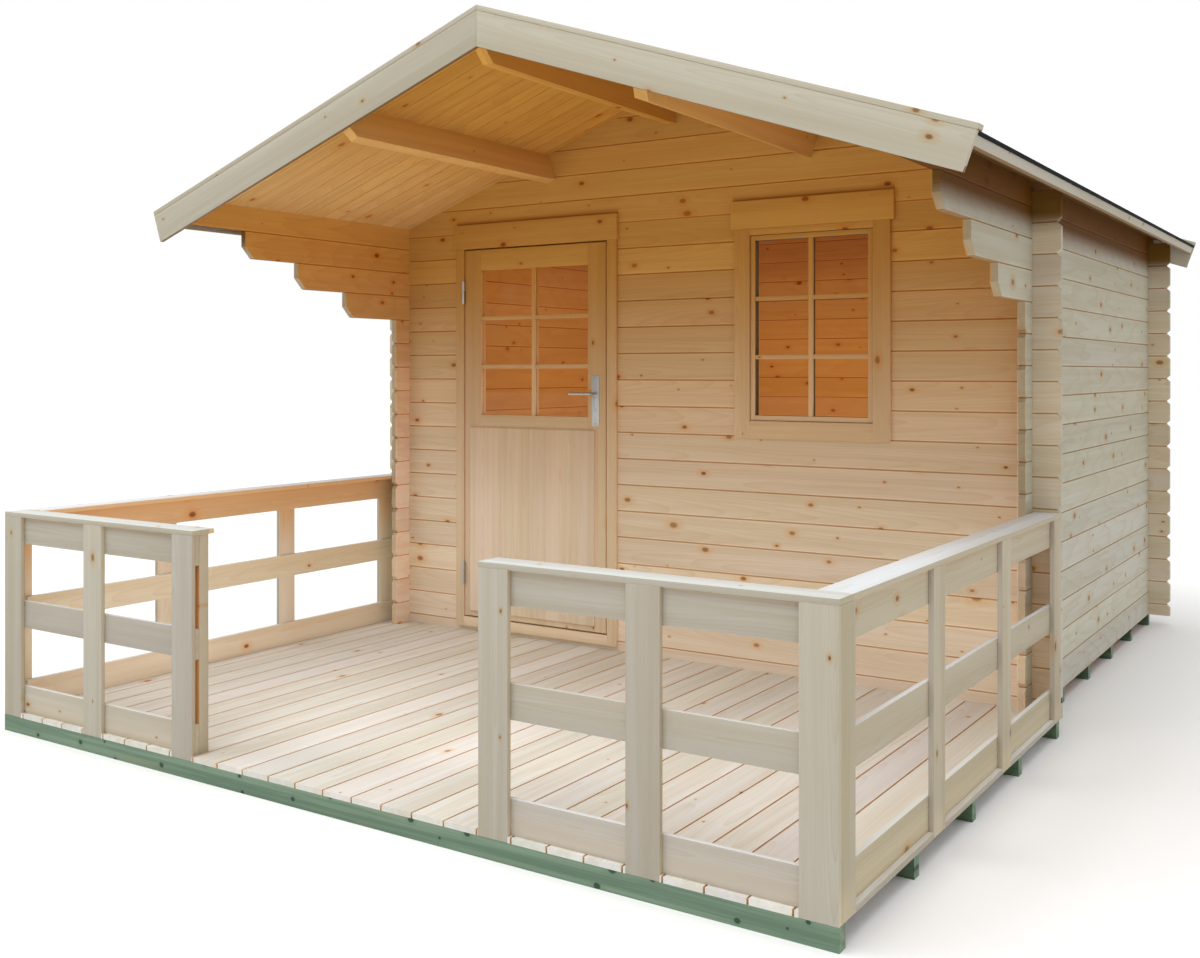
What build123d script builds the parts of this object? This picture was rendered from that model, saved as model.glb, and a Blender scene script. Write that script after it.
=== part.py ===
"""Garden house: a log cabin with a railed terrace under a deep gable roof.

Frame: X to the right seen from the front, Y from the terrace to the rear, Z up.
The origin is on the ground under the middle of the whole object.
"""
from build123d import *
import math
import os

# Logs
LOG_T = 28.0
COURSE = 116.0
TIP = 100.0
JOINT_DEPTH = 3.0
JOINT_HALF = 3.5
TIP_BEVEL = 16.0

# Ground plan, with Y counted from the terrace front until the last move
HOUSE_W = 3000.0
HOUSE_D = 2400.0
TERRACE_D = 2130.0
BEARER_T = 38.0
BEARER_H = 58.0
BOARD_T = 16.0
BOARD_W = 98.0

# Roof
ROOF_ANGLE = 19.25
ROOF_HALF_W = 1700.0
ROOF_FRONT = 748.0
ROOF_REAR_OVERHANG = 148.0
SOFFIT_RIDGE = 2474.0
ROOF_BOARD_T = 19.0
ROOF_BOARD_PITCH = 95.0
FELT_T = 3.0
BARGE_T = 18.0
BARGE_W = 118.0
CAP_STRIP_T = 18.0
CAP_STRIP_W = 45.0
FASCIA_T = 18.0
FASCIA_H = 45.0
FELT_LIP = 4.0
FELT_FOLD = 12.0
FELT_LAPS = (850.0, 250.0)
RIDGE_SLIT = 0.5
ROOF_JOINT = 2.0

# Purlins and corbels
PURLIN_T = 45.0
PURLIN_DEPTH = 125.0
RIDGE_DEPTH = 150.0
PURLIN_ALONG = 700.0
END_CHAMFER = 50.0
CORBEL_FRONTS = (1677.0, 1365.0, 1053.0)
FIRST_CORBEL = 13

# Railing
CAP_W = 92.0
CAP_TOP = 742.0
CAP_PROUD = 2.0
ENTRANCE_HALF = 578.0
MID_RAIL_Z = 324.0
SIDE_CORNER_W = 86.0

# Deck and floor
DECK_BOARDS = 28
DECK_GAP = 6.0
PLAY = 2.0
CUT = 1.0
TERRACE_BEARERS = 5
HOUSE_BEARERS = 6
BEARER_PITCH = 515.0
FLOOR_T = 18.0
FLOOR_PITCH = 98.0
FLOOR_JOINT = 2.0

# Door
DOOR_X = -714.5
LEAF_W = 790.0
LEAF_H = 1744.0
LEAF_Z = 88.0
LEAF_T = 40.0
LEAF_PROUD = 16.0
GAP = 7.0
JAMB_T = 28.0
FRAME_D = 58.0
STOP_W = 15.0
TRIM_T = 18.0
DOOR_TRIM_W = 46.0
DOOR_TRIM_Z = 35.0
HEADER_H = 116.0
HEADER_T = 20.0
DOOR_HEADER_X = (-459.0, 452.0)
DOOR_GLASS_W = 602.0
DOOR_GLASS_H = 687.0
DOOR_GLASS_Z = 1049.0
MUNTIN_W = 18.0
MUNTIN_T = 16.0
INNER_MUNTIN_T = 10.0
BAR_SET_BACK = 4.0
GLASS_T = 4.0
PANEL_T = 10.0
PANEL_X = (-358.0, 338.0)
PANEL_Z = (28.0, 908.0)

# Door furniture
HINGE_R = 7.0
HINGE_H = 110.0
HINGE_SLIT = 1.0
HINGE_Z = (290.0, 1632.0)
HANDLE_X = 343.0
HANDLE_Z = 1154.0
PLATE_W = 39.0
PLATE_H = 226.0
PLATE_BELOW = 145.0
PLATE_T = 3.0
LEVER_LEN = 137.0
LEVER_R = 8.5
LEVER_REACH = 48.0
SPINDLE_R = 4.0
SPINDLE_PLAY = 4.0
LEVER_PLAY = 2.0

# Window
WINDOW_X = 642.0
SASH_W = 523.0
SASH_Z = (1053.0, 1816.0)
SASH_RIM = 20.0
SASH_GAP = 2.0
WINDOW_LINING = 10.0
WINDOW_TRIM_W = 68.0
WINDOW_TRIM_Z = (978.0, 1846.0)
WINDOW_HEADER_HALF = 347.0

# Worked out
BASE = BEARER_H
TAN = math.tan(math.radians(ROOF_ANGLE))
COS = math.cos(math.radians(ROOF_ANGLE))
SIN = math.sin(math.radians(ROOF_ANGLE))
HALF_W = HOUSE_W / 2
DECK_HALF = HALF_W + TIP
FRONT = TERRACE_D
REAR = FRONT + HOUSE_D
ROOF_REAR = REAR + ROOF_REAR_OVERHANG
BOARDS_FRONT = ROOF_FRONT + BARGE_T
BOARDS_REAR = ROOF_REAR - BARGE_T
LENGTH = ROOF_REAR
FELT_TOP = ROOF_BOARD_T + FELT_T
BARGE_ALONG = (ROOF_HALF_W - (FELT_TOP + CAP_STRIP_T) * SIN) / COS
EAVE_ALONG = BARGE_ALONG - FELT_LIP
OVER_OPENINGS = 16.5 * COURSE
FRAME_OUT_HALF = LEAF_W / 2 + GAP + JAMB_T
DOOR_CUT_Z = LEAF_Z - GAP - JAMB_T
WINDOW_CUT_HALF = SASH_W / 2 + WINDOW_LINING
WINDOW_CUT_Z = (SASH_Z[0] - WINDOW_LINING, OVER_OPENINGS)


def box(x0, x1, y0, y1, z0, z1):
    """A box between two corners, with Z counted from the top of the bearers."""
    centre = Pos((x0 + x1) / 2, (y0 + y1) / 2, BASE + (z0 + z1) / 2)
    return centre * Box(x1 - x0, y1 - y0, z1 - z0)


def prism_y(points, y0, y1):
    """An X and Z outline pushed along Y."""
    plane = Plane(origin=(0, y0, BASE), x_dir=(1, 0, 0), z_dir=(0, -1, 0))
    return extrude(plane * make_face(Polyline(*points, close=True)), amount=y0 - y1)


def prism_x(points, x0, x1):
    """A Y and Z outline pushed along X."""
    plane = Plane(origin=(x0, 0, BASE), x_dir=(0, 1, 0), z_dir=(1, 0, 0))
    return extrude(plane * make_face(Polyline(*points, close=True)), amount=x1 - x0)


def soffit(x):
    """Height of the underside of the roof boards."""
    return SOFFIT_RIDGE - TAN * abs(x)


def on_slope(side, along, up):
    """X and Z of a place down one slope, raised square to it from the soffit."""
    return (side * (along * COS + up * SIN), SOFFIT_RIDGE - along * SIN + up * COS)


def slope_block(side, low, high, along_in, along_out):
    """Section of a sheet on one slope, square at both ends."""
    corners = ((along_in, low), (along_in, high), (along_out, high), (along_out, low))
    return [on_slope(side, along, up) for along, up in corners]


def slope_band(side, low, high, along_out, x_in=0.0):
    """Section of a sheet on one slope, upright at the ridge, square at the eave."""
    ridge = [((x_in - up * SIN) / COS, up) for up in (low, high)]
    eave = [(along_out, high), (along_out, low)]
    return [on_slope(side, along, up) for along, up in ridge + eave]


def log_profile(faces, z_low, z_high, first_joint):
    """Section of a stack of logs, with a small V along every joint."""
    near, far = faces
    joints = []
    z = first_joint
    while z < z_high - JOINT_HALF:
        if z > z_low + JOINT_HALF:
            joints.append(z)
        z += COURSE
    up = [(near, z_low)]
    for z in joints:
        up += [(near, z - JOINT_HALF), (near + JOINT_DEPTH, z), (near, z + JOINT_HALF)]
    up += [(near, z_high), (far, z_high)]
    for z in reversed(joints):
        up += [(far, z + JOINT_HALF), (far - JOINT_DEPTH, z), (far, z - JOINT_HALF)]
    return up + [(far, z_low)]


def stepped_end(edge, inward, z_low, z_high, first_joint):
    """The end of a stack of logs seen from the side, bevelled at every joint."""
    points = [(edge, z_low)]
    z = first_joint
    while z < z_high - TIP_BEVEL:
        if z > z_low + TIP_BEVEL:
            points += [(edge, z - TIP_BEVEL), (edge + inward * TIP_BEVEL, z), (edge, z + TIP_BEVEL)]
        z += COURSE
    return points + [(edge, z_high)]


def corner_blocks(across, along, phase):
    """The blocks at one corner that belong to the crossing wall."""
    blocks = []
    n = 0
    while (n + phase) * COURSE - COURSE / 4 < OVER_OPENINGS:
        low = max((n + phase) * COURSE - COURSE / 4, 0.0)
        high = (n + phase) * COURSE + COURSE / 4
        blocks.append(box(*across, *along, low, high))
        n += 1
    return blocks


def purlin_sections():
    """Outlines of the ridge purlin and of the two side purlins."""
    half = PURLIN_T / 2
    low = SOFFIT_RIDGE - RIDGE_DEPTH
    ridge = [(-half, low), (half, low), (half, soffit(half)), (0, SOFFIT_RIDGE), (-half, soffit(half))]
    sides = {}
    for name, side in (("left_purlin", -1), ("right_purlin", 1)):
        sides[name] = slope_block(side, -PURLIN_DEPTH, 0.0, PURLIN_ALONG - half, PURLIN_ALONG + half)
    return {"ridge_purlin": ridge, **sides}


def purlins():
    """Three purlins through both gables, their lower ends cut off at a slant."""
    parts = {}
    for name, section in purlin_sections().items():
        lowest = min(z for x, z in section)
        beam = prism_y(section, BOARDS_FRONT, BOARDS_REAR)
        for end, inward in ((BOARDS_FRONT, 1), (BOARDS_REAR, -1)):
            reach = END_CHAMFER + CUT
            below = lowest - CUT
            outside = end - inward * CUT
            wedge = [(outside, below), (end + inward * reach, below), (outside, lowest + reach)]
            beam -= prism_x(wedge, -HALF_W, HALF_W)
        parts[name] = beam
    return parts


def gable_outline(z_low):
    """Outline of a gable above the tops of the openings."""
    inner = HALF_W - LOG_T
    eave = soffit(inner)
    return [(-inner, z_low), (inner, z_low), (inner, eave), (0, SOFFIT_RIDGE), (-inner, eave)]


def cross_wall_end(side, z_high):
    """The bevelled end of the front or rear wall on one side."""
    return stepped_end(side * DECK_HALF, -side, 0.0, z_high, COURSE / 2)


def cross_wall(x_left, x_right, near, z_low, z_high):
    """A piece of front or rear wall between two places across the house."""
    left = [(x_left, z_low), (x_left, z_high)]
    right = [(x_right, z_low), (x_right, z_high)]
    if x_left <= -DECK_HALF:
        left = cross_wall_end(-1, z_high)
    if x_right >= DECK_HALF:
        right = cross_wall_end(1, z_high)
    logs = prism_y(left + right[::-1], near, near + LOG_T)
    logs &= prism_x(log_profile((near, near + LOG_T), z_low, z_high, COURSE / 2), x_left, x_right)
    for side in (-1, 1):
        across = sorted((side * HALF_W, side * (HALF_W - LOG_T)))
        if x_left < across[0] and across[1] < x_right:
            logs -= Part() + corner_blocks(across, (near, near + LOG_T), 0.5)
    return logs


def gable(near):
    """The triangle of logs over one end wall, open where the purlins pass."""
    outline = prism_y(gable_outline(OVER_OPENINGS), near, near + LOG_T)
    profile = log_profile((near, near + LOG_T), OVER_OPENINGS, SOFFIT_RIDGE, COURSE / 2)
    logs = outline & prism_x(profile, -HALF_W, HALF_W)
    for section in purlin_sections().values():
        logs -= prism_y(section, near - CUT, near + LOG_T + CUT)
    return logs


def end_walls():
    """Front wall in pieces round the door and window, rear wall and both gables."""
    door_left = DOOR_X - FRAME_OUT_HALF
    door_right = DOOR_X + FRAME_OUT_HALF
    window_left = WINDOW_X - WINDOW_CUT_HALF
    window_right = WINDOW_X + WINDOW_CUT_HALF
    top = OVER_OPENINGS
    rear_near = REAR - LOG_T
    return {
        "front_wall_left": cross_wall(-DECK_HALF, door_left, FRONT, 0, top),
        "threshold_log": cross_wall(door_left, door_right, FRONT, 0, DOOR_CUT_Z),
        "front_wall_middle": cross_wall(door_right, window_left, FRONT, 0, top),
        "front_wall_under_window": cross_wall(window_left, window_right, FRONT, 0, WINDOW_CUT_Z[0]),
        "front_wall_right": cross_wall(window_right, DECK_HALF, FRONT, 0, top),
        "front_gable": gable(FRONT),
        "rear_wall": cross_wall(-DECK_HALF, DECK_HALF, rear_near, 0, top),
        "rear_gable": gable(rear_near),
    }


def side_wall_outline():
    """Side wall seen from the side: corbels step out under the eave log."""
    eave_z = 16 * COURSE
    top = soffit(HALF_W) + LOG_T
    front = [(BOARDS_FRONT, top), (BOARDS_FRONT, eave_z)]
    for step, y in enumerate(reversed(CORBEL_FRONTS)):
        high = eave_z - step * COURSE
        low = high - COURSE
        front += [(y, high), (y, low + END_CHAMFER), (y + END_CHAMFER, low)]
    lowest = FIRST_CORBEL * COURSE
    tips = stepped_end(FRONT - TIP, 1, 0.0, lowest, COURSE)[::-1]
    rear = stepped_end(REAR + TIP, -1, 0.0, eave_z, COURSE)
    return front + tips + rear + [(BOARDS_REAR, eave_z), (BOARDS_REAR, top)]


def side_walls():
    """Both side walls, with tops planed to the roof slope."""
    parts = {}
    top = soffit(HALF_W) + LOG_T
    for name, side in (("left_wall", -1), ("right_wall", 1)):
        faces = sorted((side * HALF_W, side * (HALF_W - LOG_T)))
        logs = prism_x(side_wall_outline(), *faces)
        logs &= prism_y(log_profile(faces, 0.0, top, COURSE), 0, LENGTH)
        over = slope_block(side, 0.0, 2 * COURSE, (HALF_W - COURSE) / COS, (HALF_W + COURSE) / COS)
        logs -= prism_y(over, 0, LENGTH)
        for near in (FRONT, REAR - LOG_T):
            logs -= Part() + corner_blocks(faces, (near, near + LOG_T), 0.0)
        parts[name] = logs
    return parts


def roof_boards(side):
    """Tongue and groove boards down one slope, with a V at each joint below."""
    section = slope_band(side, 0.0, ROOF_BOARD_T, EAVE_ALONG - FASCIA_T)
    deck = prism_y(section, BOARDS_FRONT, BOARDS_REAR)
    count = round((BOARDS_REAR - BOARDS_FRONT) / ROOF_BOARD_PITCH)
    pitch = (BOARDS_REAR - BOARDS_FRONT) / count
    groove = slope_band(side, -CUT, ROOF_JOINT, EAVE_ALONG)
    joints = [BOARDS_FRONT + n * pitch for n in range(1, count)]
    return deck - (Part() + [prism_y(groove, y - ROOF_JOINT, y + ROOF_JOINT) for y in joints])


def roof():
    """Boards, felt, barge boards with their cap strips, and eave boards."""
    parts = {}
    felt_low = ROOF_BOARD_T
    felt_top = FELT_TOP
    caps = {"front_barge_caps": [], "rear_barge_caps": []}
    for word, side in (("left", -1), ("right", 1)):
        parts[f"roof_boards_{word}"] = roof_boards(side)
        felt = prism_y(slope_band(side, felt_low, felt_top, BARGE_ALONG), BOARDS_FRONT, BOARDS_REAR)
        fold = slope_block(side, felt_top - FELT_FOLD, felt_top, EAVE_ALONG, BARGE_ALONG)
        felt += prism_y(fold, BOARDS_FRONT, BOARDS_REAR)
        for layer, along in enumerate(FELT_LAPS):
            under = felt_top + layer * FELT_T
            lap = slope_band(side, under, under + FELT_T, along)
            felt += prism_y(lap, ROOF_FRONT + CAP_STRIP_W, ROOF_REAR - CAP_STRIP_W)
        parts[f"roof_felt_{word}"] = felt
        barge = slope_band(side, felt_top - BARGE_W, felt_top, BARGE_ALONG)
        cap = slope_band(side, felt_top, felt_top + CAP_STRIP_T, BARGE_ALONG, RIDGE_SLIT)
        for end, y0, y1 in (("front", ROOF_FRONT, BOARDS_FRONT), ("rear", BOARDS_REAR, ROOF_REAR)):
            parts[f"{end}_barge_{word}"] = prism_y(barge, y0, y1)
        caps["front_barge_caps"].append(prism_y(cap, ROOF_FRONT, ROOF_FRONT + CAP_STRIP_W))
        caps["rear_barge_caps"].append(prism_y(cap, ROOF_REAR - CAP_STRIP_W, ROOF_REAR))
        fascia = slope_block(side, felt_low - FASCIA_H, felt_low, EAVE_ALONG - FASCIA_T, EAVE_ALONG)
        parts[f"eave_fascia_{word}"] = prism_y(fascia, BOARDS_FRONT, BOARDS_REAR)
    parts.update({name: Compound(children=pair) for name, pair in caps.items()})
    return parts


def bearers():
    """Treated bearers on the ground: five under the terrace, six under the house."""
    terrace = [box(-DECK_HALF, DECK_HALF, n * BEARER_PITCH, n * BEARER_PITCH + BEARER_T, -BEARER_H, 0)
               for n in range(TERRACE_BEARERS)]
    first = FRONT + (LOG_T - BEARER_T) / 2
    pitch = (HOUSE_D - LOG_T) / (HOUSE_BEARERS - 1)
    house = [box(-HALF_W, HALF_W, first + n * pitch, first + n * pitch + BEARER_T, -BEARER_H, 0)
             for n in range(HOUSE_BEARERS)]
    return {"terrace_bearers": Compound(children=terrace), "house_bearers": Compound(children=house)}


def front_posts():
    """X ranges of the upright boards on the terrace front, on the right side."""
    start = ENTRANCE_HALF
    pitch = (DECK_HALF - ENTRANCE_HALF - BOARD_W) / 2
    return [(start + n * pitch, start + n * pitch + BOARD_W) for n in range(3)]


def side_posts():
    """Y ranges of the upright boards along one side."""
    pitch = (FRONT - BOARD_W) / 3
    return [(BOARD_T, BOARD_T + SIDE_CORNER_W)] + [(n * pitch, n * pitch + BOARD_W) for n in (1, 2, 3)]


def mirrored(pair, side):
    """An X range on the right side, or its mirror image on the left."""
    return sorted((side * pair[0], side * pair[1]))


def railing():
    """Upright boards outside, three rails inside them, and the hand rail boards."""
    rail_z = (BOARD_T, MID_RAIL_Z, CAP_TOP - BOARD_T - BOARD_W)
    top = CAP_TOP - BOARD_T
    parts = {}
    for word, side in (("left", -1), ("right", 1)):
        front = Part()
        for post in front_posts():
            front += box(*mirrored(post, side), 0, BOARD_T, 0, top)
        for z in rail_z:
            span = mirrored((ENTRANCE_HALF, DECK_HALF - BOARD_T), side)
            front += box(*span, BOARD_T, 2 * BOARD_T, z, z + BOARD_W)
        inner_post = mirrored((ENTRANCE_HALF, ENTRANCE_HALF + BEARER_H), side)
        front += box(*inner_post, 2 * BOARD_T, 2 * BOARD_T + BEARER_T, BOARD_T, top)
        parts[f"railing_front_{word}"] = front
        flank = Part()
        outer = mirrored((DECK_HALF - BOARD_T, DECK_HALF), side)
        inner = mirrored((DECK_HALF - 2 * BOARD_T, DECK_HALF - BOARD_T), side)
        for post in side_posts():
            flank += box(*outer, *post, 0, top)
        for z in rail_z:
            flank += box(*inner, 2 * BOARD_T, FRONT, z, z + BOARD_W)
        parts[f"railing_{word}"] = flank
        cap = mirrored((ENTRANCE_HALF - CAP_PROUD, DECK_HALF), side)
        parts[f"handrail_front_{word}"] = box(*cap, 0, CAP_W, top, CAP_TOP)
        cap = mirrored((DECK_HALF - CAP_W, DECK_HALF), side)
        parts[f"handrail_{word}"] = box(*cap, CAP_W, FRONT, top, CAP_TOP)
    return parts


def deck():
    """Terrace boards from front to back, let in round the upright boards."""
    pitch = (2 * DECK_HALF + DECK_GAP) / DECK_BOARDS
    width = pitch - DECK_GAP
    notches = []
    through = (-CUT, BOARD_T + CUT)
    for side in (-1, 1):
        notches += [box(*mirrored(post, side), -CUT, BOARD_T, *through) for post in front_posts()]
        edge = mirrored((DECK_HALF - BOARD_T, DECK_HALF + CUT), side)
        notches += [box(*edge, *post, *through) for post in side_posts()]
        tip = mirrored((HALF_W - LOG_T - PLAY, HALF_W + PLAY), side)
        notches.append(box(*tip, FRONT - TIP - PLAY, FRONT + CUT, *through))
    boards = []
    for n in range(DECK_BOARDS):
        left = -DECK_HALF + n * pitch
        board = box(left, left + width, 0, FRONT, 0, BOARD_T)
        for notch in notches:
            spot = notch.bounding_box()
            if spot.min.X < left + width and spot.max.X > left:
                board -= notch
        boards += board.solids()
    return {"deck_boards": Compound(children=boards)}


def floor():
    """Floor boards inside the house, with a narrow V at each joint."""
    inner = HALF_W - LOG_T
    slab = box(-inner, inner, FRONT + LOG_T, REAR - LOG_T, 0, FLOOR_T)
    count = round(2 * inner / FLOOR_PITCH)
    pitch = 2 * inner / count
    joints = [-inner + n * pitch for n in range(1, count)]
    cuts = [box(x - CUT, x + CUT, FRONT, REAR, FLOOR_T - FLOOR_JOINT, FLOOR_T + CUT) for x in joints]
    return {"floor_boards": slab - (Part() + cuts)}


def ring_y(outer, inner, y0, y1):
    """A flat frame of boards between an outer and an inner rectangle."""
    x0, x1, z0, z1 = outer
    a0, a1, b0, b1 = inner
    return box(x0, x1, y0, y1, z0, z1) - box(a0, a1, y0 - CUT, y1 + CUT, b0, b1)


def door_fixed():
    """Door frame with its stop, and the trim boards with the tall header."""
    low, high = LEAF_Z - GAP, LEAF_Z + LEAF_H + GAP
    half = LEAF_W / 2 + GAP
    opening = (DOOR_X - half, DOOR_X + half, low, high)
    outer = (DOOR_X - FRAME_OUT_HALF, DOOR_X + FRAME_OUT_HALF, low - JAMB_T, high + JAMB_T)
    frame = ring_y(outer, opening, FRONT, FRONT + FRAME_D)
    stop_y = FRONT - LEAF_PROUD + LEAF_T + GAP
    narrow = (DOOR_X - half + STOP_W, DOOR_X + half - STOP_W, low + STOP_W, high - STOP_W)
    frame += ring_y(opening, narrow, stop_y, FRONT + FRAME_D)
    trim_outer = (DOOR_X - half - DOOR_TRIM_W, DOOR_X + half + DOOR_TRIM_W, DOOR_TRIM_Z, high)
    trim = ring_y(trim_outer, (opening[0], opening[1], low, high + CUT), FRONT - TRIM_T, FRONT)
    header = (DOOR_X + DOOR_HEADER_X[0], DOOR_X + DOOR_HEADER_X[1])
    trim += box(*header, FRONT - HEADER_T, FRONT, high, high + HEADER_H)
    return {"door_frame": frame, "door_trim": trim}


def bars(x0, x1, z0, z1, y0, y1):
    """Glazing bars that divide an opening into two by three panes."""
    middle = (x0 + x1) / 2
    grid = box(middle - MUNTIN_W / 2, middle + MUNTIN_W / 2, y0, y1, z0, z1)
    for n in (1, 2):
        z = z0 + (z1 - z0) * n / 3
        grid += box(x0, x1, y0, y1, z - MUNTIN_W / 2, z + MUNTIN_W / 2)
    return grid


def door_leaf():
    """Leaf with a glazed upper half and a boarded lower half."""
    left, right = DOOR_X - LEAF_W / 2, DOOR_X + LEAF_W / 2
    face = FRONT - LEAF_PROUD
    glass = (DOOR_X - DOOR_GLASS_W / 2, DOOR_X + DOOR_GLASS_W / 2, DOOR_GLASS_Z, DOOR_GLASS_Z + DOOR_GLASS_H)
    leaf = ring_y((left, right, LEAF_Z, LEAF_Z + LEAF_H), glass, face, face + LEAF_T)
    pane_y = face + LEAF_T / 2
    leaf += bars(*glass, face + BAR_SET_BACK, pane_y - GLASS_T / 2)
    leaf += bars(*glass, pane_y + GLASS_T / 2, face + LEAF_T - BAR_SET_BACK)
    hole = Pos(DOOR_X + HANDLE_X, face, BASE + HANDLE_Z) * Rot(90, 0, 0)
    leaf -= hole * Cylinder(SPINDLE_R + SPINDLE_PLAY, 4 * LEAF_T)
    across = (DOOR_X + PANEL_X[0], DOOR_X + PANEL_X[1])
    top = LEAF_Z + PANEL_Z[1]
    panel = box(*across, face - PANEL_T, face, LEAF_Z + PANEL_Z[0], top)
    front = face - PANEL_T - CUT
    panel -= prism_x([(front, top - PANEL_T), (front, top + CUT), (face + CUT, top + CUT)], *across)
    pane = box(glass[0], glass[1], pane_y - GLASS_T / 2, pane_y + GLASS_T / 2, glass[2], glass[3])
    return {"door_leaf": leaf, "door_panel": panel, "door_glass": pane}


def lever_arm(x, y, outward):
    """One lever: a neck out of the leaf that bends round towards the hinges."""
    z = BASE + HANDLE_Z
    bend = y + outward * LEVER_REACH
    path = FilletPolyline((x, y, z), (x, bend, z), (x - LEVER_LEN, bend, z), radius=2 * LEVER_R)
    section = Plane(origin=(x, y, z), z_dir=(0, outward, 0)) * Circle(LEVER_R)
    return sweep(section, path=path)


def door_hardware():
    """Lift-off hinges, handle plates and the lever with its spindle."""
    face = FRONT - LEAF_PROUD
    hinge_x = DOOR_X - LEAF_W / 2 - GAP / 2
    trim_face = FRONT - TRIM_T
    hinge_y = trim_face - HINGE_R - HINGE_SLIT
    fixed, moving = [], []
    for z in HINGE_Z:
        halves = ((z - HINGE_H / 2, -1, trim_face, fixed), (z + HINGE_SLIT, 1, face, moving))
        for low, side, y, group in halves:
            high = low + HINGE_H / 2 - HINGE_SLIT
            barrel = Pos(hinge_x, hinge_y, BASE + (low + high) / 2) * Cylinder(HINGE_R, high - low)
            root = sorted((hinge_x, hinge_x + side * HINGE_R))
            group.append(barrel + box(*root, hinge_y, y, low + HINGE_R, high - HINGE_R))
    handle_x = DOOR_X + HANDLE_X
    plates = []
    for y0, y1 in ((face - PLATE_T, face), (face + LEAF_T, face + LEAF_T + PLATE_T)):
        low = HANDLE_Z - PLATE_BELOW
        plate = box(handle_x - PLATE_W / 2, handle_x + PLATE_W / 2, y0, y1, low, low + PLATE_H)
        hole = Pos(handle_x, y0, BASE + HANDLE_Z) * Rot(90, 0, 0)
        plate -= hole * Cylinder(LEVER_R + LEVER_PLAY, LEAF_T)
        plates.append(plate)
    middle = face + LEAF_T / 2
    lever = Pos(handle_x, middle, BASE + HANDLE_Z) * Rot(90, 0, 0) * Cylinder(SPINDLE_R, LEAF_T + 2 * PLATE_T)
    for outward in (-1, 1):
        lever += lever_arm(handle_x, middle + outward * LEAF_T / 2, outward)
    return {
        "door_hinge_pins": Compound(children=fixed),
        "door_hinge_knuckles": Compound(children=moving),
        "handle_plates": Compound(children=plates),
        "door_lever": lever,
    }


def window():
    """Fixed window: lining with glazing bars, one sheet of glass and the trim."""
    half = SASH_W / 2
    z0, z1 = SASH_Z
    lining = (WINDOW_X - WINDOW_CUT_HALF, WINDOW_X + WINDOW_CUT_HALF, z0 - WINDOW_LINING, z1 + WINDOW_LINING)
    clear = (WINDOW_X - half + SASH_RIM, WINDOW_X + half - SASH_RIM, z0 + SASH_RIM, z1 - SASH_RIM)
    face = FRONT - TRIM_T / 2
    frame = ring_y(lining, clear, FRONT, FRONT + FRAME_D)
    frame += ring_y((WINDOW_X - half, WINDOW_X + half, z0, z1), clear, face, FRONT)
    pane_y = face + BAR_SET_BACK + MUNTIN_T
    frame += bars(*clear, face + BAR_SET_BACK, pane_y)
    frame += bars(*clear, pane_y + GLASS_T, pane_y + GLASS_T + INNER_MUNTIN_T)
    pane = box(clear[0], clear[1], pane_y, pane_y + GLASS_T, clear[2], clear[3])
    trim_half = half + SASH_GAP + WINDOW_TRIM_W
    outer = (WINDOW_X - trim_half, WINDOW_X + trim_half, *WINDOW_TRIM_Z)
    inner_half = half + SASH_GAP
    inner = (WINDOW_X - inner_half, WINDOW_X + inner_half, z0 - SASH_GAP, z1 + SASH_GAP)
    trim = ring_y(outer, inner, FRONT - TRIM_T, FRONT)
    header = (WINDOW_X - WINDOW_HEADER_HALF, WINDOW_X + WINDOW_HEADER_HALF)
    trim += box(*header, FRONT - HEADER_T, FRONT, WINDOW_TRIM_Z[1], WINDOW_TRIM_Z[1] + HEADER_H)
    return {"window_frame": frame, "window_glass": pane, "window_trim": trim}


def main():
    """Write every sub-part at its place, with the origin under the middle."""
    parts = {}
    for group in (bearers, floor, deck, end_walls, side_walls, purlins, roof, railing,
                  door_fixed, door_leaf, door_hardware, window):
        parts.update(group())
    os.makedirs("parts", exist_ok=True)
    for name, shape in parts.items():
        solids = [Pos(0, -LENGTH / 2, 0) * solid for solid in shape.solids()]
        placed = Compound(children=solids) if len(solids) > 1 else solids[0]
        export_step(placed, f"parts/{name}.step")


main()
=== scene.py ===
"""Garden house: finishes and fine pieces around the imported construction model."""

import logging
import math
from dataclasses import dataclass
from enum import Enum
from typing import Callable, Iterable, Mapping, Sequence, Union

import bmesh
import bpy
from mathutils import Matrix, Vector


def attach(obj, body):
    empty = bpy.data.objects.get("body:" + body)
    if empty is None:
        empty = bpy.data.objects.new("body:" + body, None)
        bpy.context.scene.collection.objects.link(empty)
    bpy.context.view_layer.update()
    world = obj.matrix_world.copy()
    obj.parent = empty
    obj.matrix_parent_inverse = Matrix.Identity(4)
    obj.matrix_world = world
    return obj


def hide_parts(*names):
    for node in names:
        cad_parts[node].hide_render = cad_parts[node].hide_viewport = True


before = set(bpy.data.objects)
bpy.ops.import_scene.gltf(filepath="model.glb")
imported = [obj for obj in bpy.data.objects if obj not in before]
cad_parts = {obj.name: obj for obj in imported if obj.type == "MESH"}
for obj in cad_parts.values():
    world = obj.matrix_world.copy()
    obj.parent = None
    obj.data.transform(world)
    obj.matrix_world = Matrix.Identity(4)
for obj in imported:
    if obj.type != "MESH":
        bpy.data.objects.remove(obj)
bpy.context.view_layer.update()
log = logging.getLogger("garden_house")

Triple = tuple[float, float, float]
Span = tuple[float, float]
Key = Union[str, int]

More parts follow.
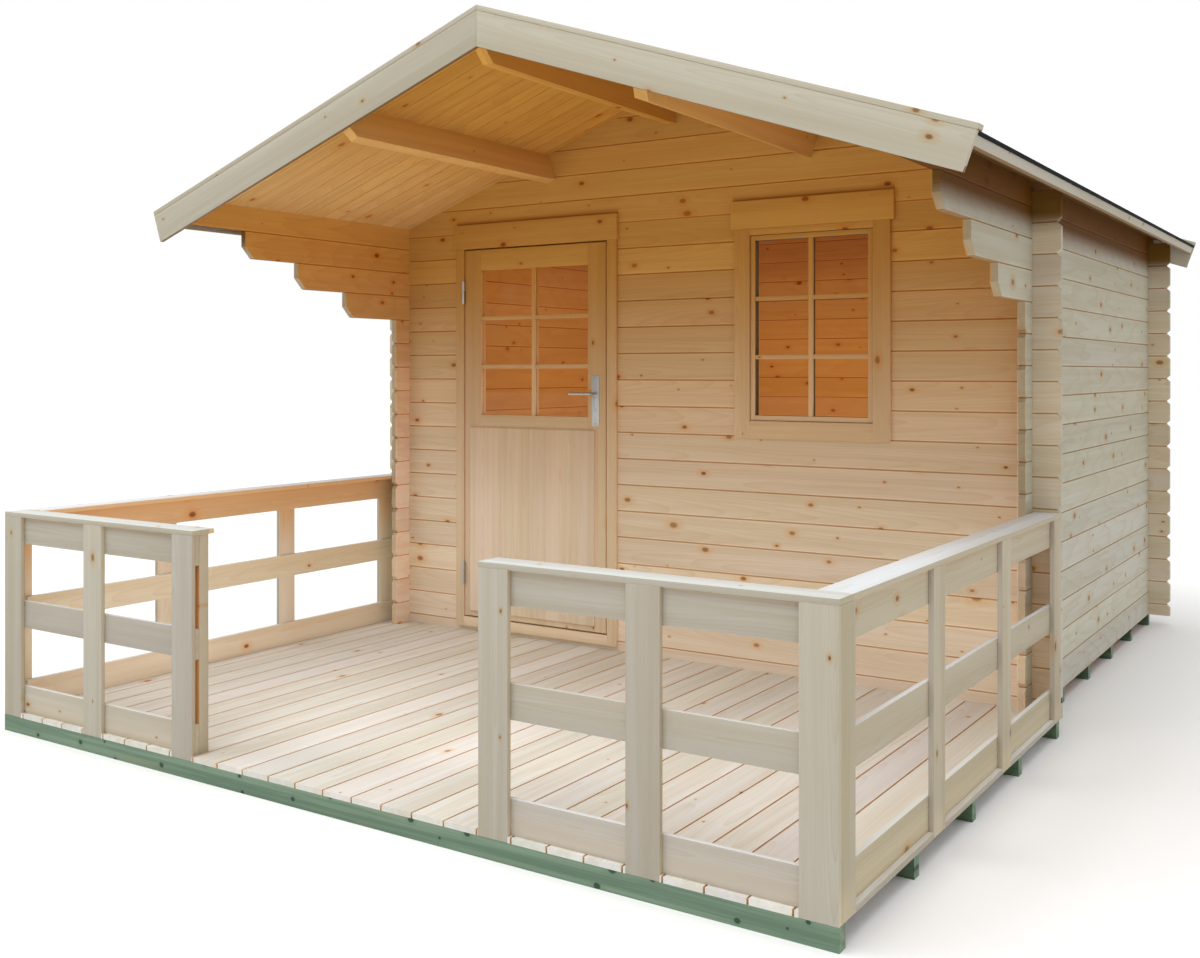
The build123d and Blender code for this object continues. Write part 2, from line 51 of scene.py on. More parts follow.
# The construction counts Y from the terrace front and Z from the bearer tops.
HALF_LENGTH = 2.339
BEARER_TOP = 0.058
LOG_T = 0.028
COURSE = 0.116
WALL_IN_X = 1.472
WALL_OUT_X = 1.500
WALL_FACE_Y = 2.130 - HALF_LENGTH
WALL_IN_Y = WALL_FACE_Y + LOG_T
REAR_IN_Y = 4.502 - HALF_LENGTH
SLOPE = math.radians(19.25)
JOINT_EDGE = 0.0005
GROOVE = 0.0035
SOFFIT_RIDGE = 2.474 + BEARER_TOP
FELT_TOP = 0.022
ROOF_HALF = 1.700
ROOF_FRONT_Y = 0.748 - HALF_LENGTH
ROOF_REAR_Y = HALF_LENGTH
DECK_HALF = 1.600
RAIL_BACK_Y = 0.016 - HALF_LENGTH
RAIL_POST_Y = 0.032 - HALF_LENGTH
RAIL_INNER_Y = 0.072 - HALF_LENGTH
RAIL_ENTRANCE = 0.578
ROUND_STEPS = 2
BOARD_STEP = 1.618
JOINERY_CAST = (0.97, 0.93, 0.84)
# Left end, right end and top of the header over the door and over the window.
HEADERS = ((-1.1735, -0.2625, 1.955 + BEARER_TOP), (0.295, 0.989, 1.962 + BEARER_TOP))


def local_y(y: float) -> float:
    """Y in the shared frame of a distance from the terrace front."""
    return y - HALF_LENGTH


def local_z(z: float) -> float:
    """Z in the shared frame of a height above the bearer tops."""
    return z + BEARER_TOP


def y_span(low: float, high: float) -> Span:
    """A Y range of the shared frame."""
    return local_y(low), local_y(high)


def z_span(low: float, high: float) -> Span:
    """A Z range of the shared frame."""
    return local_z(low), local_z(high)


class Wire:
    """A shader socket that takes part in Python arithmetic."""

    def __init__(self, graph: "Graph", socket: bpy.types.NodeSocket) -> None:
        """Wraps an output socket.

        Args:
            graph: The graph that the socket belongs to.
            socket: The output socket.
        """
        self.graph = graph
        self.socket = socket

    def __rsub__(self, other: "Value") -> "Wire":
        """Difference with a number on the left."""
        return self.graph.math("SUBTRACT", other, self)

    @staticmethod
    def operator(operation: str) -> Callable[..., "Wire"]:
        """Makes a method that feeds the wire and its operands to a Math node."""
        def run(self: "Wire", *others: "Value") -> "Wire":
            return self.graph.math(operation, self, *others)
        return run

    __add__ = __radd__ = operator("ADD")
    __sub__ = operator("SUBTRACT")
    __mul__ = operator("MULTIPLY")
    __truediv__ = operator("DIVIDE")
    __pow__ = operator("POWER")
    __lt__ = operator("LESS_THAN")
    __gt__ = operator("GREATER_THAN")
    __abs__ = operator("ABSOLUTE")
    floor = operator("FLOOR")
    fraction = operator("FRACT")


Value = Union[float, Wire]


class Graph:
    """The node tree of one material, built around a Principled shader."""

    def __init__(self, name: str) -> None:
        """Makes the material.

        Args:
            name: The material's name.
        """
        self.material = bpy.data.materials.new(name)
        self.material.use_nodes = True
        self.nodes = self.material.node_tree.nodes
        self.links = self.material.node_tree.links
        self.nodes.clear()
        self.output = self.nodes.new("ShaderNodeOutputMaterial")
        self.shader = self.nodes.new("ShaderNodeBsdfPrincipled")
        self.links.new(self.shader.outputs[0], self.output.inputs[0])

    def node(self, kind: str, settings: Mapping[str, object] | None = None,
             sockets: Mapping[Key, object] | None = None) -> bpy.types.Node:
        """Adds any node.

        Args:
            kind: The node's type name.
            settings: Properties, set first.
            sockets: Values or wires of its inputs, by name or number.

        Returns:
            The node.
        """
        made = self.nodes.new(kind)
        for key, value in (settings or {}).items():
            setattr(made, key, value)
        for key, value in (sockets or {}).items():
            self.put(made.inputs[key], value)
        return made

    def put(self, socket: bpy.types.NodeSocket, value: object) -> None:
        """Sets an input to a constant, or links it.

        Args:
            socket: The input.
            value: A number, a colour, a vector or a wire.
        """
        if isinstance(value, Wire):
            self.links.new(value.socket, socket)
            return
        if isinstance(value, tuple) and len(value) == 3 and socket.type == "RGBA":
            value = (*value, 1.0)
        socket.default_value = value

    def wire(self, node: bpy.types.Node, output: Key = 0) -> Wire:
        """Wraps one output of a node."""
        return Wire(self, node.outputs[output])

    def math(self, operation: str, *values: Value) -> Wire:
        """One Math node."""
        made = self.node("ShaderNodeMath", {"operation": operation}, dict(enumerate(values)))
        return self.wire(made)

    def step(self, value: Value, start: float, end: float) -> Wire:
        """Smooth rise from 0 at start to 1 at end; falls where start is the larger."""
        made = self.node("ShaderNodeMapRange", {"interpolation_type": "SMOOTHSTEP"},
                         {"Value": value, "From Min": start, "From Max": end})
        return self.wire(made)

    def mix(self, factor: Value, first: object, second: object) -> Wire:
        """Colour between two colours."""
        made = self.node("ShaderNodeMix", {"data_type": "RGBA"}, {0: factor, 6: first, 7: second})
        return self.wire(made, 2)

    def tint(self, colour: object, factor: object) -> Wire:
        """Product of two colours."""
        made = self.node("ShaderNodeVectorMath", {"operation": "MULTIPLY"}, {0: colour, 1: factor})
        return self.wire(made)

    def vector(self, x: Value, y: Value, z: Value) -> Wire:
        """Vector of three values."""
        return self.wire(self.node("ShaderNodeCombineXYZ", {}, {0: x, 1: y, 2: z}))

    def split(self, vector: Wire) -> tuple[Wire, Wire, Wire]:
        """The three parts of a vector."""
        made = self.node("ShaderNodeSeparateXYZ", {}, {0: vector})
        return self.wire(made, 0), self.wire(made, 1), self.wire(made, 2)

    def place(self) -> tuple[Wire, Wire, Wire]:
        """X, Y and Z in the shared frame."""
        return self.split(self.wire(self.node("ShaderNodeTexCoord"), "Object"))

    def facing(self) -> tuple[Wire, Wire, Wire]:
        """The surface's direction in the object's own frame."""
        return self.split(self.wire(self.node("ShaderNodeTexCoord"), "Normal"))

    def knots(self, cell: tuple[Wire, Wire], size: Span, spread: float) -> tuple[Wire, Wire, Wire]:
        """Scattered spots, one for each cell of a grid.

        Args:
            cell: Place along and across, in cells.
            size: Length and width of a cell, as distances to the spots are measured.
            spread: How freely the spots lie in their cells.

        Returns:
            Distance along and across to the nearest spot, and the spot's random colour.
        """
        made = self.node("ShaderNodeTexVoronoi", {"voronoi_dimensions": "2D", "feature": "F1"},
                         {"Vector": self.vector(*cell, 0.0), "Scale": 1.0, "Randomness": spread})
        centre = self.split(self.wire(made, "Position"))
        return (cell[0] - centre[0]) * size[0], (cell[1] - centre[1]) * size[1], self.wire(made, "Color")

    def noise(self, vector: Wire, scale: float = 1.0, detail: float = 2.0, rough: float = 0.5) -> Wire:
        """Fractal noise around one half."""
        made = self.node("ShaderNodeTexNoise", {"noise_dimensions": "3D"},
                         {"Vector": vector, "Scale": scale, "Detail": detail, "Roughness": rough})
        return self.wire(made, 0)

    def bump(self, height: Wire, distance: float, strength: float = 1.0) -> None:
        """Feeds a height to the shader's normal."""
        made = self.node("ShaderNodeBump", {},
                         {"Strength": strength, "Distance": distance, "Height": height})
        self.links.new(made.outputs[0], self.shader.inputs["Normal"])

    def set(self, **sockets: object) -> None:
        """Sets or links the shader's inputs, with _ for each space in a name."""
        for key, value in sockets.items():
            self.put(self.shader.inputs[key.replace("_", " ")], value)


class Finish:
    """What every finish has: a name and a way to paint itself."""

    name: str

    def paint(self, g: Graph) -> None:
        """Builds the material's nodes.

        Args:
            g: The graph that takes them.
        """
        raise NotImplementedError

    def material(self) -> bpy.types.Material:
        """Builds the material.

        Returns:
            The finished material.
        """
        g = Graph(self.name)
        self.paint(g)
        return g.material


class Zone(Enum):
    """Where a wooden piece stands, which decides the light and shade painted into its wood's colour."""

    WALLS = "walls"
    ROOF = "roof"
    RAILING = "railing"
    OUTSIDE = "outside"
    DECK = "deck"


@dataclass(frozen=True)
class Lay:
    """How the boards of one construction node lie."""

    along: Triple
    across: Triple
    deep: Triple
    pitch: float = 0.0
    start: float = 0.0
    mirrored: bool = False
    joint: float = 0.0


@dataclass(frozen=True)
class Spruce(Finish):
    """Planed raw spruce with growth rings, streaks and knots."""

    name: str
    zone: Zone
    lay: Lay | None = None
    seed: float = 0.0
    pale: Triple = (0.600, 0.560, 0.470)
    ripe: Triple = (0.545, 0.485, 0.375)
    late: Triple = (0.500, 0.400, 0.280)
    knot: Triple = (0.200, 0.082, 0.020)
    halo: Triple = (0.560, 0.350, 0.150)
    # Painted light and shade in the porch: lighter near the floor, darker and warmer high up under the
    # roof.
    porch_low_light: Triple = (1.45, 1.33, 1.26)
    porch_high_shade: Triple = (0.89, 0.51, 0.135)
    # Painted shade on the soffit: darker and warmer higher up, darkest outside the walls.
    roof_low_shade: Triple = (1.26, 0.86, 0.42)
    roof_high_shade: Triple = (1.06, 0.58, 0.13)
    roof_eaves_shade: Triple = (0.30, 0.16, 0.03)
    # Painted light on the railing's inner faces, warmer higher up.
    inner_rail_light: Triple = (1.76, 1.70, 1.68)
    inner_high_light: Triple = (1.62, 1.18, 0.78)
    # Painted warm bounce light in the slot between the railing boards.
    slot: Triple = (1.15, 0.66, 0.34)
    # Painted shade on the posts' inner sides and on the railing's outward faces.
    post_side_shade: Triple = (0.98, 0.94, 0.86)
    rail_flank_shade: Triple = (0.90, 0.87, 0.77)
    # Painted bounce light near the foot of the railing.
    rail_foot_light: Triple = (1.24, 1.20, 1.16)
    sawn: Triple = (0.74, 0.64, 0.50)
    # Painted shade on the railing's front faces and painted light on its tops.
    rail_face_shade: Triple = (0.77, 0.78, 0.79)
    rail_top_light: Triple = (1.16, 1.32, 1.62)
    # Painted shade on the outside trim boards.
    outside: Triple = (0.85, 0.86, 0.84)
    # Painted shade on the side walls, painted lighter near the ground.
    flank: Triple = (0.86, 0.87, 0.83)
    flank_low_light: Triple = (1.02, 1.07, 1.08)
    # Painted dim, warm shade inside the room.
    indoors_shade: Triple = (0.98, 0.50, 0.135)
    # Painted shade under the eaves, darker on the walls' outer faces.
    eaves_shade: Triple = (0.30, 0.155, 0.020)
    eaves_side_shade: Triple = (0.24, 0.095, 0.0)
    # Painted light on the projecting log tips.
    tips_light: Triple = (1.08, 1.01, 0.92)
    # Painted light on the deck, warm bounce light in its gaps and painted shade on its outer edges.
    deck_light: Triple = (1.18, 1.27, 1.44)
    deck_gap_light: Triple = (1.50, 1.12, 0.74)
    deck_side_shade: Triple = (0.86, 0.86, 0.84)
    # Painted shade on the undersides of the outside trim boards.
    under_edge_shade: Triple = (0.42, 0.28, 0.16)
    # Painted light on porch faces that look sideways.
    inward_light: Triple = (1.32, 1.28, 1.40)
    # Painted light on the low log ends at the front.
    low_ends_light: Triple = (1.28, 1.12, 0.98)
    header_shade: Triple = (0.78, 0.62, 0.32)
    porch_rise: Span = (0.45, 1.90)
    roof_rise: Span = (1.98, 2.42)
    eave_rise: Span = (1.805, 1.895)
    side_fall: Span = (1.3, 0.3)
    ends_fall: Span = (0.95, 0.25)
    foot_fall: Span = (0.17, 0.07)
    inner_rise: Span = (0.45, 0.72)
    header_fade: float = 0.036
    slot_wide: float = 0.060
    knot_length: float = 0.30
    knot_width: float = 0.075
    knot_share: float = 0.48
    knot_radius: Span = (0.0019, 0.0082)
    ring: float = 0.0042
    ring_sway: float = 0.016
    ring_bulge: float = 0.004
    late_share: float = 0.42
    halo_share: float = 0.55
    rim_share: float = 0.35
    # Painted highlight on the arris beside each joint.
    arris_highlight_tone: Triple = (1.20, 1.18, 1.14)
    seam_tone: Triple = (0.68, 0.44, 0.24)
    cast: Triple = (1.0, 1.0, 1.0)

    def grain(self, g: Graph) -> tuple[Wire, Wire, Wire, Wire, Wire | None]:
        """Coordinates in the board's own directions.

        Args:
            g: The graph.

        Returns:
            Along, across and through the board, the board's number, and the distance to the
            nearest joint if the boards have joints.
        """
        if self.lay is None:
            spot = g.node("ShaderNodeAttribute", {"attribute_name": "grain"})
            number = g.node("ShaderNodeAttribute", {"attribute_name": "board"})
            along, across, deep = g.split(g.wire(spot, "Vector"))
            return along, across, deep, g.wire(number, "Fac"), None
        x, y, z = g.place()
        number: Value = self.seed
        if self.lay.mirrored:
            number = g.math("SIGN", x) * 5.3 + self.seed
            x = abs(x)
        place = g.vector(x, y, z)
        parts = []
        for axis in (self.lay.along, self.lay.across, self.lay.deep):
            made = g.node("ShaderNodeVectorMath", {"operation": "DOT_PRODUCT"}, {0: place, 1: axis})
            parts.append(g.wire(made, "Value"))
        along, across, deep = parts
        if not self.lay.pitch:
            return along, across, deep, number + along * 0.0, None
        steps = (across - self.lay.start) / self.lay.pitch
        index = steps.floor()
        inside = (steps.fraction() - 0.5) * self.lay.pitch
        edge = self.lay.pitch / 2 - abs(inside)
        return along, inside, deep, index * 1.37 + number, edge if self.lay.joint else None

    def painted_light(self, g: Graph) -> Wire:
        """The painted light and shade: the colour by which the wood is multiplied where it stands.

        Args:
            g: The graph.

        Returns:
            A colour wire.
        """
        x, y, z = g.place()
        nx, ny, nz = g.facing()
        if self.zone is Zone.OUTSIDE:
            # Painted shade on the outside trim, darkest on undersides.
            return g.mix(nz < -0.45, self.outside, self.under_edge_shade)
        if self.zone is Zone.DECK:
            # Painted warm bounce light in the gaps and painted shade on the outer edges.
            side = g.mix(abs(x) > DECK_HALF - JOINT_EDGE * 4, self.deck_gap_light, self.deck_side_shade)
            return g.mix(abs(nx) > 0.5, self.deck_light, side)
        if self.zone is Zone.RAILING:
            return self.railing(g)
        if self.zone is Zone.ROOF:
            # Painted shade on the soffit, deepening with height and darkest outside the walls.
            under_roof = g.mix(g.step(z, *self.roof_rise), self.roof_low_shade, self.roof_high_shade)
            return g.mix(abs(x) > WALL_OUT_X - GROOVE, under_roof, self.roof_eaves_shade)
        narrow = abs(x) < WALL_IN_X + GROOVE
        under = narrow * (y < WALL_IN_Y - GROOVE)
        room = narrow * (y > WALL_IN_Y - GROOVE) * (y < REAR_IN_Y + GROOVE)
        # Painted shade under the eaves on the side walls.
        shade = g.step(z, *self.eave_rise) * (abs(x) > WALL_IN_X + GROOVE)
        eaves_shade = g.mix(abs(nx) > 0.5, self.eaves_shade, self.eaves_side_shade)
        # Painted shade on the side walls, lighter towards the ground.
        side = g.mix(g.step(z, *self.side_fall), self.flank, self.flank_low_light)
        # Painted light on the projecting log tips and, low at the front, on the log ends.
        ends = g.mix(abs(x) > WALL_OUT_X + JOINT_EDGE, self.sawn, self.tips_light)
        ends = g.mix(g.step(z, *self.ends_fall) * (y < WALL_FACE_Y + COURSE), ends, self.low_ends_light)
        # Painted light low in the porch and painted shade high up, with sideways faces painted lighter.
        porch = g.mix(g.step(z, *self.porch_rise), self.porch_low_light, self.porch_high_shade)
        porch = g.mix(abs(nx) > 0.5, porch, g.tint(porch, self.inward_light))
        for header in HEADERS:
            fade = g.step(z, header[2] + self.header_fade, header[2])
            above = (x > header[0]) * (x < header[1]) * (z > header[2]) * fade
            porch = g.mix(above, porch, g.tint(porch, self.header_shade))
        flank = g.mix((abs(ny) > 0.45) * (abs(x) > WALL_IN_X + JOINT_EDGE), side, ends)
        tone = g.mix(under, g.mix(shade, flank, eaves_shade), porch)
        # Painted dim, warm shade inside the room.
        return g.mix(room, tone, self.indoors_shade)

    def railing(self, g: Graph) -> Wire:
        """The painted light and shade: the colour by which the railing's wood is multiplied.

        Args:
            g: The graph.

        Returns:
            A colour wire.
        """
        x, y, z = g.place()
        nx, ny, nz = g.facing()
        outward = nx * g.math("SIGN", x)
        # Painted bounce light near the foot of the boards.
        low = g.step(z, *self.foot_fall)
        recessed = low * (y > RAIL_BACK_Y - JOINT_EDGE)
        front = g.mix(recessed, self.rail_face_shade, g.tint(self.rail_face_shade, self.rail_foot_light))
        beside = g.mix(low, self.rail_flank_shade, g.tint(self.rail_flank_shade, self.rail_foot_light))
        # Painted light on the inner faces, warmer higher up.
        inner = g.mix(g.step(z, *self.inner_rise), self.inner_rail_light, self.inner_high_light)
        tone = g.mix(ny < -0.4, inner, front)
        # Painted shade on outward faces and on the posts' inner sides.
        tone = g.mix(outward > 0.4, tone, beside)
        tone = g.mix((outward < -0.4) * (y < RAIL_INNER_Y), tone, self.post_side_shade)
        # Painted warm bounce light deep in the slot beside the entrance posts.
        deep = (y > RAIL_BACK_Y + JOINT_EDGE) * (y < RAIL_POST_Y + JOINT_EDGE * 2)
        beyond = abs(x) > RAIL_ENTRANCE + JOINT_EDGE * 2
        hidden = deep * beyond * (abs(x) < RAIL_ENTRANCE + self.slot_wide)
        tone = g.mix(hidden, tone, self.slot)
        # Painted light on top faces.
        return g.mix(nz > 0.4, tone, self.rail_top_light)

    def paint(self, g: Graph) -> None:
        """Builds the material's nodes."""
        along, across, deep, number, edge = self.grain(g)
        dice = g.node("ShaderNodeTexWhiteNoise", {"noise_dimensions": "1D"}, {"W": number})
        luck, luck_b, luck_c = g.split(g.wire(dice, "Color"))
        shifted = g.vector(along * 1.4, across * 9.0 + number * 3.1, deep * 9.0)
        sway = g.noise(shifted, detail=2.0) - 0.5

        cell = (along / self.knot_length + number * 7.77, across / self.knot_width + number * 3.77)
        off_a, off_b, colour = g.knots(cell, (self.knot_length / 1.6, self.knot_width), 0.95)
        size, chance, shade = g.split(colour)
        away = g.math("SQRT", off_a * off_a + off_b * off_b) + sway * 0.004
        radius = size * size * self.knot_radius[1] + self.knot_radius[0]
        radius = radius * (chance < self.knot_share) + 0.00001
        reach = away / radius
        knot = g.step(reach, 1.15, 0.75)
        rim = g.step(reach, 1.6, 1.05) - g.step(reach, 1.0, 0.5)
        halo = g.step(reach, 4.5, 0.8)

        off_pith = across - (luck - 0.5) * 0.12
        depth = deep + 0.025 + luck_b * 0.06 + along * (luck_c - 0.5) * 0.05
        rings = g.math("SQRT", off_pith * off_pith + depth * depth)
        rings = (rings + sway * self.ring_sway + halo * self.ring_bulge) / self.ring
        late = rings.fraction() ** 3.0
        stretched = g.vector(along * 0.9, across * 38.0 + number * 9.0, deep * 38.0)
        streak = g.noise(stretched, detail=3.0, rough=0.6)
        broad = g.noise(g.vector(along * 0.7 + number, across * 11.0, deep * 11.0), detail=1.0)
        fibre = g.noise(g.vector(along * 14.0, across * 420.0 + number, deep * 420.0), detail=1.0)

        wood = g.mix(g.step(streak * 0.6 + broad * 0.4, 0.36, 0.66), self.pale, self.ripe)
        wood = g.mix(late * self.late_share, wood, self.late)
        wood = g.mix(halo * self.halo_share, wood, self.halo)
        wood = g.mix(knot * (shade * 0.35 + 0.6), wood, self.knot)
        wood = g.mix(rim * self.rim_share, wood, self.knot)
        bright = luck * 0.13 + 0.935 + (fibre - 0.5) * 0.05
        own = g.vector(bright, bright * (luck_b * 0.026 + 0.987), bright * (luck_c * 0.06 + 0.97))
        # Painted light and shade of the piece's place multiply the wood last.
        wood = g.tint(g.tint(g.tint(wood, own), self.cast), self.painted_light(g))
        if edge is not None:
            seam = g.step(edge, self.lay.joint, self.lay.joint * 0.25)
            # Painted highlight on the arris beside each joint, then the dark joint itself.
            arris_highlight = g.step(edge, self.lay.joint * 2.6, self.lay.joint * 1.2) - seam
            wood = g.mix(arris_highlight * 0.45, wood, g.tint(wood, self.arris_highlight_tone))
            wood = g.mix(seam * 0.85, wood, g.tint(wood, self.seam_tone))
        g.set(Base_Color=wood, Roughness=0.60 + streak * 0.16 - knot * 0.12, Specular_IOR_Level=0.2)


@dataclass(frozen=True)
class Treated(Finish):
    """Pressure-treated bearer wood: grey green with dark knots and streaks."""

    name: str = "treated_green"
    pale: Triple = (0.205, 0.290, 0.205)
    deep: Triple = (0.125, 0.195, 0.135)
    # Painted light on the bearers' end faces and painted shade on the sides of the bearers behind the
    # first.
    end_light: Triple = (1.26, 1.24, 1.26)
    shaded: Triple = (0.62, 0.66, 0.56)
    brown: Triple = (0.260, 0.235, 0.130)
    knot: Triple = (0.030, 0.055, 0.032)
    pitch: float = 0.2575
    cell: Span = (0.21, 0.05)
    knot_size: Span = (0.17, 0.05)

    def paint(self, g: Graph) -> None:
        """Builds the material's nodes."""
        x, y, z = g.place()
        beam = ((y + HALF_LENGTH) / self.pitch).floor()
        streak = g.noise(g.vector(x * 1.1 + beam * 3.7, y * 60.0, z * 60.0), detail=4.0, rough=0.6)
        patch = g.noise(g.vector(x * 3.0 + beam * 5.1, y * 8.0, z * 14.0), detail=3.0)
        cell = (x / self.cell[0] + beam * 7.0, z / self.cell[1])
        off_a, off_b, colour = g.knots(cell, self.knot_size, 1.0)
        size, chance = g.split(colour)[:2]
        radius = (size * 0.010 + 0.003) * (chance < 0.6) + 0.00001
        reach = g.math("SQRT", off_a * off_a + off_b * off_b) / radius
        wood = g.mix(g.step(streak, 0.35, 0.65), self.pale, self.deep)
        wood = g.mix(g.step(patch, 0.56, 0.74) * 0.45, wood, self.brown)
        wood = g.mix(g.step(reach, 3.0, 1.0) * 0.35, wood, self.deep)
        wood = g.mix(g.step(reach, 1.2, 0.7) * 0.9, wood, self.knot)
        # Painted shade on the sides of the inner bearers and painted light on their end faces.
        nx, ny = g.facing()[:2]
        wood = g.mix((abs(ny) > 0.5) * (beam > 0.5), wood, g.tint(wood, self.shaded))
        wood = g.mix(abs(nx) > 0.5, wood, g.tint(wood, self.end_light))
        g.set(Base_Color=wood, Roughness=0.70 + streak * 0.16, Specular_IOR_Level=0.2)
        g.bump(streak, 0.0012, 0.6)


@dataclass(frozen=True)
class Felt(Finish):
    """Sanded bitumen felt."""

    name: str = "bitumen_felt"
    dark: Triple = (0.009, 0.009, 0.010)
    light: Triple = (0.034, 0.034, 0.035)

    def paint(self, g: Graph) -> None:
        """Builds the material's nodes."""
        x, y, z = g.place()
        place = g.vector(x, y, z)
        grit = g.noise(place, 900.0, 2.0, 0.7)
        blotch = g.noise(place, 2.2, 4.0, 0.6)
        sand = g.step(grit, 0.40, 0.68)
        colour = g.mix(sand * (blotch * 0.6 + 0.4), self.dark, self.light)
        g.set(Base_Color=colour, Roughness=0.84 + grit * 0.15, Specular_IOR_Level=0.12)
        g.bump(grit, 0.0012, 0.8)


@dataclass(frozen=True)
class Pane(Finish):
    """Clear window glass that lets light through to the room."""

    name: str = "clear_pane"
    body: Triple = (0.955, 0.975, 0.965)

    def paint(self, g: Graph) -> None:
        """Builds the material's nodes."""
        clear = g.node("ShaderNodeBsdfTransparent", {}, {"Color": self.body})
        rim = g.node("ShaderNodeFresnel", {}, {"IOR": 1.5})
        blend = g.node("ShaderNodeMixShader", {}, {0: g.wire(rim) * 0.16})
        gloss = g.node("ShaderNodeBsdfGlossy", {}, {"Color": (1.0, 1.0, 1.0), "Roughness": 0.02})
        g.links.new(clear.outputs[0], blend.inputs[1])
        g.links.new(gloss.outputs[0], blend.inputs[2])
        g.links.new(blend.outputs[0], g.output.inputs[0])
        g.nodes.remove(g.shader)


@dataclass(frozen=True)
class Metal(Finish):
    """Satin metal with fine brushing along one direction."""

    name: str
    colour: Triple
    rough: float

    def paint(self, g: Graph) -> None:
        """Builds the material's nodes."""
        x, y, z = g.place()
        brush = g.noise(g.vector(x * 900.0, y * 900.0, z * 40.0), detail=2.0)
        smudge = g.noise(g.vector(x, y, z), 30.0, 3.0)
        g.set(Base_Color=g.mix(smudge * 0.35, self.colour, tuple(c * 0.86 for c in self.colour)),
              Metallic=1.0, Roughness=self.rough + brush * 0.10 + smudge * 0.06)
        g.bump(brush, 0.00008, 0.5)


@dataclass(frozen=True)
class Plain(Finish):
    """A small dark or pale accessory with a light mottle."""

    name: str
    colour: Triple
    rough: float

    def paint(self, g: Graph) -> None:
        """Builds the material's nodes."""
        x, y, z = g.place()
        mottle = g.noise(g.vector(x, y, z), 60.0, 3.0)
        worn = tuple(min(1.0, c * 1.25) for c in self.colour)
        g.set(Base_Color=g.mix(mottle, self.colour, worn), Roughness=self.rough + mottle * 0.1)


class Axis(Enum):
    """The direction in which the grain of a board runs."""

    X = 0
    Y = 1
    Z = 2


@dataclass(frozen=True)
class Board:
    """One board between two corners, in metres of the shared frame."""

    x: Span
    y: Span
    z: Span
    grain: Axis
    round: float = 0.0015
    planed: float = 0.0


@dataclass(frozen=True)
class Slope:
    """One board on a roof slope: an X and Z outline between two Y planes."""

    side: int
    rise: Span
    reach: Span
    y: Span
    along_y: bool = False
    round: float = 0.002

    def corner(self, along: float, up: float) -> tuple[float, float]:
        """X and Z of a place down the slope, raised square to it from the soffit."""
        x = along * math.cos(SLOPE) + up * math.sin(SLOPE)
        return self.side * x, SOFFIT_RIDGE - along * math.sin(SLOPE) + up * math.cos(SLOPE)

    def outline(self) -> list[tuple[float, float]]:
        """The four corners; a reach that starts at 0 ends upright at the ridge."""
        low, high = self.rise
        start, end = self.reach
        tilt = 0.0 if start else math.tan(SLOPE)
        return [self.corner(start - low * tilt, low), self.corner(start - high * tilt, high),
                self.corner(end, high), self.corner(end, low)]


class Stock:
    """Cuts boards, rounds their edges and keeps the grain with each one."""

    def __init__(self) -> None:
        """Starts with the first board number."""
        self.count = 0

    def cut(self, mesh: bmesh.types.BMesh, board: Board) -> None:
        """Adds one board to a mesh.

        Args:
            mesh: The mesh that takes the board.
            board: The board's place, grain and rounding.
        """
        grain = mesh.verts.layers.float_vector["grain"]
        number = mesh.verts.layers.float["board"]
        spans = (board.x, board.y, board.z)
        size = Vector([high - low for low, high in spans])
        middle = Vector([(high + low) / 2 for low, high in spans])
        made = block(mesh, middle, size)
        faces = round_off(mesh, edges_of(made), board.round, ROUND_STEPS)
        made = {vert for face in faces for vert in face.verts}
        for vert in made:
            if vert.co.z > board.z[1] - 2 * board.round and vert.co.y < board.y[0] + 2 * board.round:
                vert.co.z -= board.planed
        self.count += 1
        first = board.grain.value
        order = sorted((axis for axis in range(3) if axis != first), key=lambda axis: -size[axis])
        for vert in made:
            offset = vert.co - middle
            vert[grain] = (offset[first], offset[order[0]], offset[order[1]])
            vert[number] = self.count * BOARD_STEP

    def slope(self, mesh: bmesh.types.BMesh, board: Slope) -> None:
        """Adds one sloped board to a mesh.

        Args:
            mesh: The mesh that takes the board.
            board: The board's place, grain and rounding.
        """
        grain = mesh.verts.layers.float_vector["grain"]
        number = mesh.verts.layers.float["board"]
        corners = board.outline()
        rings = [[mesh.verts.new((x, y, z)) for x, z in corners] for y in board.y]
        count = len(corners)
        faces = [mesh.faces.new(rings[0]), mesh.faces.new(rings[1][::-1])]
        for n in range(count):
            after = (n + 1) % count
            faces.append(mesh.faces.new((rings[0][after], rings[0][n], rings[1][n], rings[1][after])))
        bmesh.ops.recalc_face_normals(mesh, faces=faces)
        corner_verts = [vert for ring in rings for vert in ring]
        faces = round_off(mesh, edges_of(corner_verts), board.round, ROUND_STEPS)
        made = {vert for face in faces for vert in face.verts}
        middle = Vector((sum(x for x, z in corners) / count, sum(board.y) / 2,
                         sum(z for x, z in corners) / count))
        down = Vector((board.side * math.cos(SLOPE), 0.0, -math.sin(SLOPE)))
        lift = Vector((board.side * math.sin(SLOPE), 0.0, math.cos(SLOPE)))
        self.count += 1
        for vert in made:
            offset = vert.co - middle
            spot = (offset.dot(down), offset.dot(lift), offset.y)
            vert[grain] = (spot[2], spot[1], spot[0]) if board.along_y else spot
            vert[number] = self.count * BOARD_STEP

    def piece(self, name: str, boards: Iterable[Board | Slope]) -> bpy.types.Object:
        """Makes one object of several boards.

        Args:
            name: The object's name.
            boards: The boards it is made of.

        Returns:
            The object, at the origin.
        """
        mesh = bmesh.new()
        mesh.verts.layers.float_vector.new("grain")
        mesh.verts.layers.float.new("board")
        for board in boards:
            if isinstance(board, Slope):
                self.slope(mesh, board)
            else:
                self.cut(mesh, board)
        return finished(name, mesh)


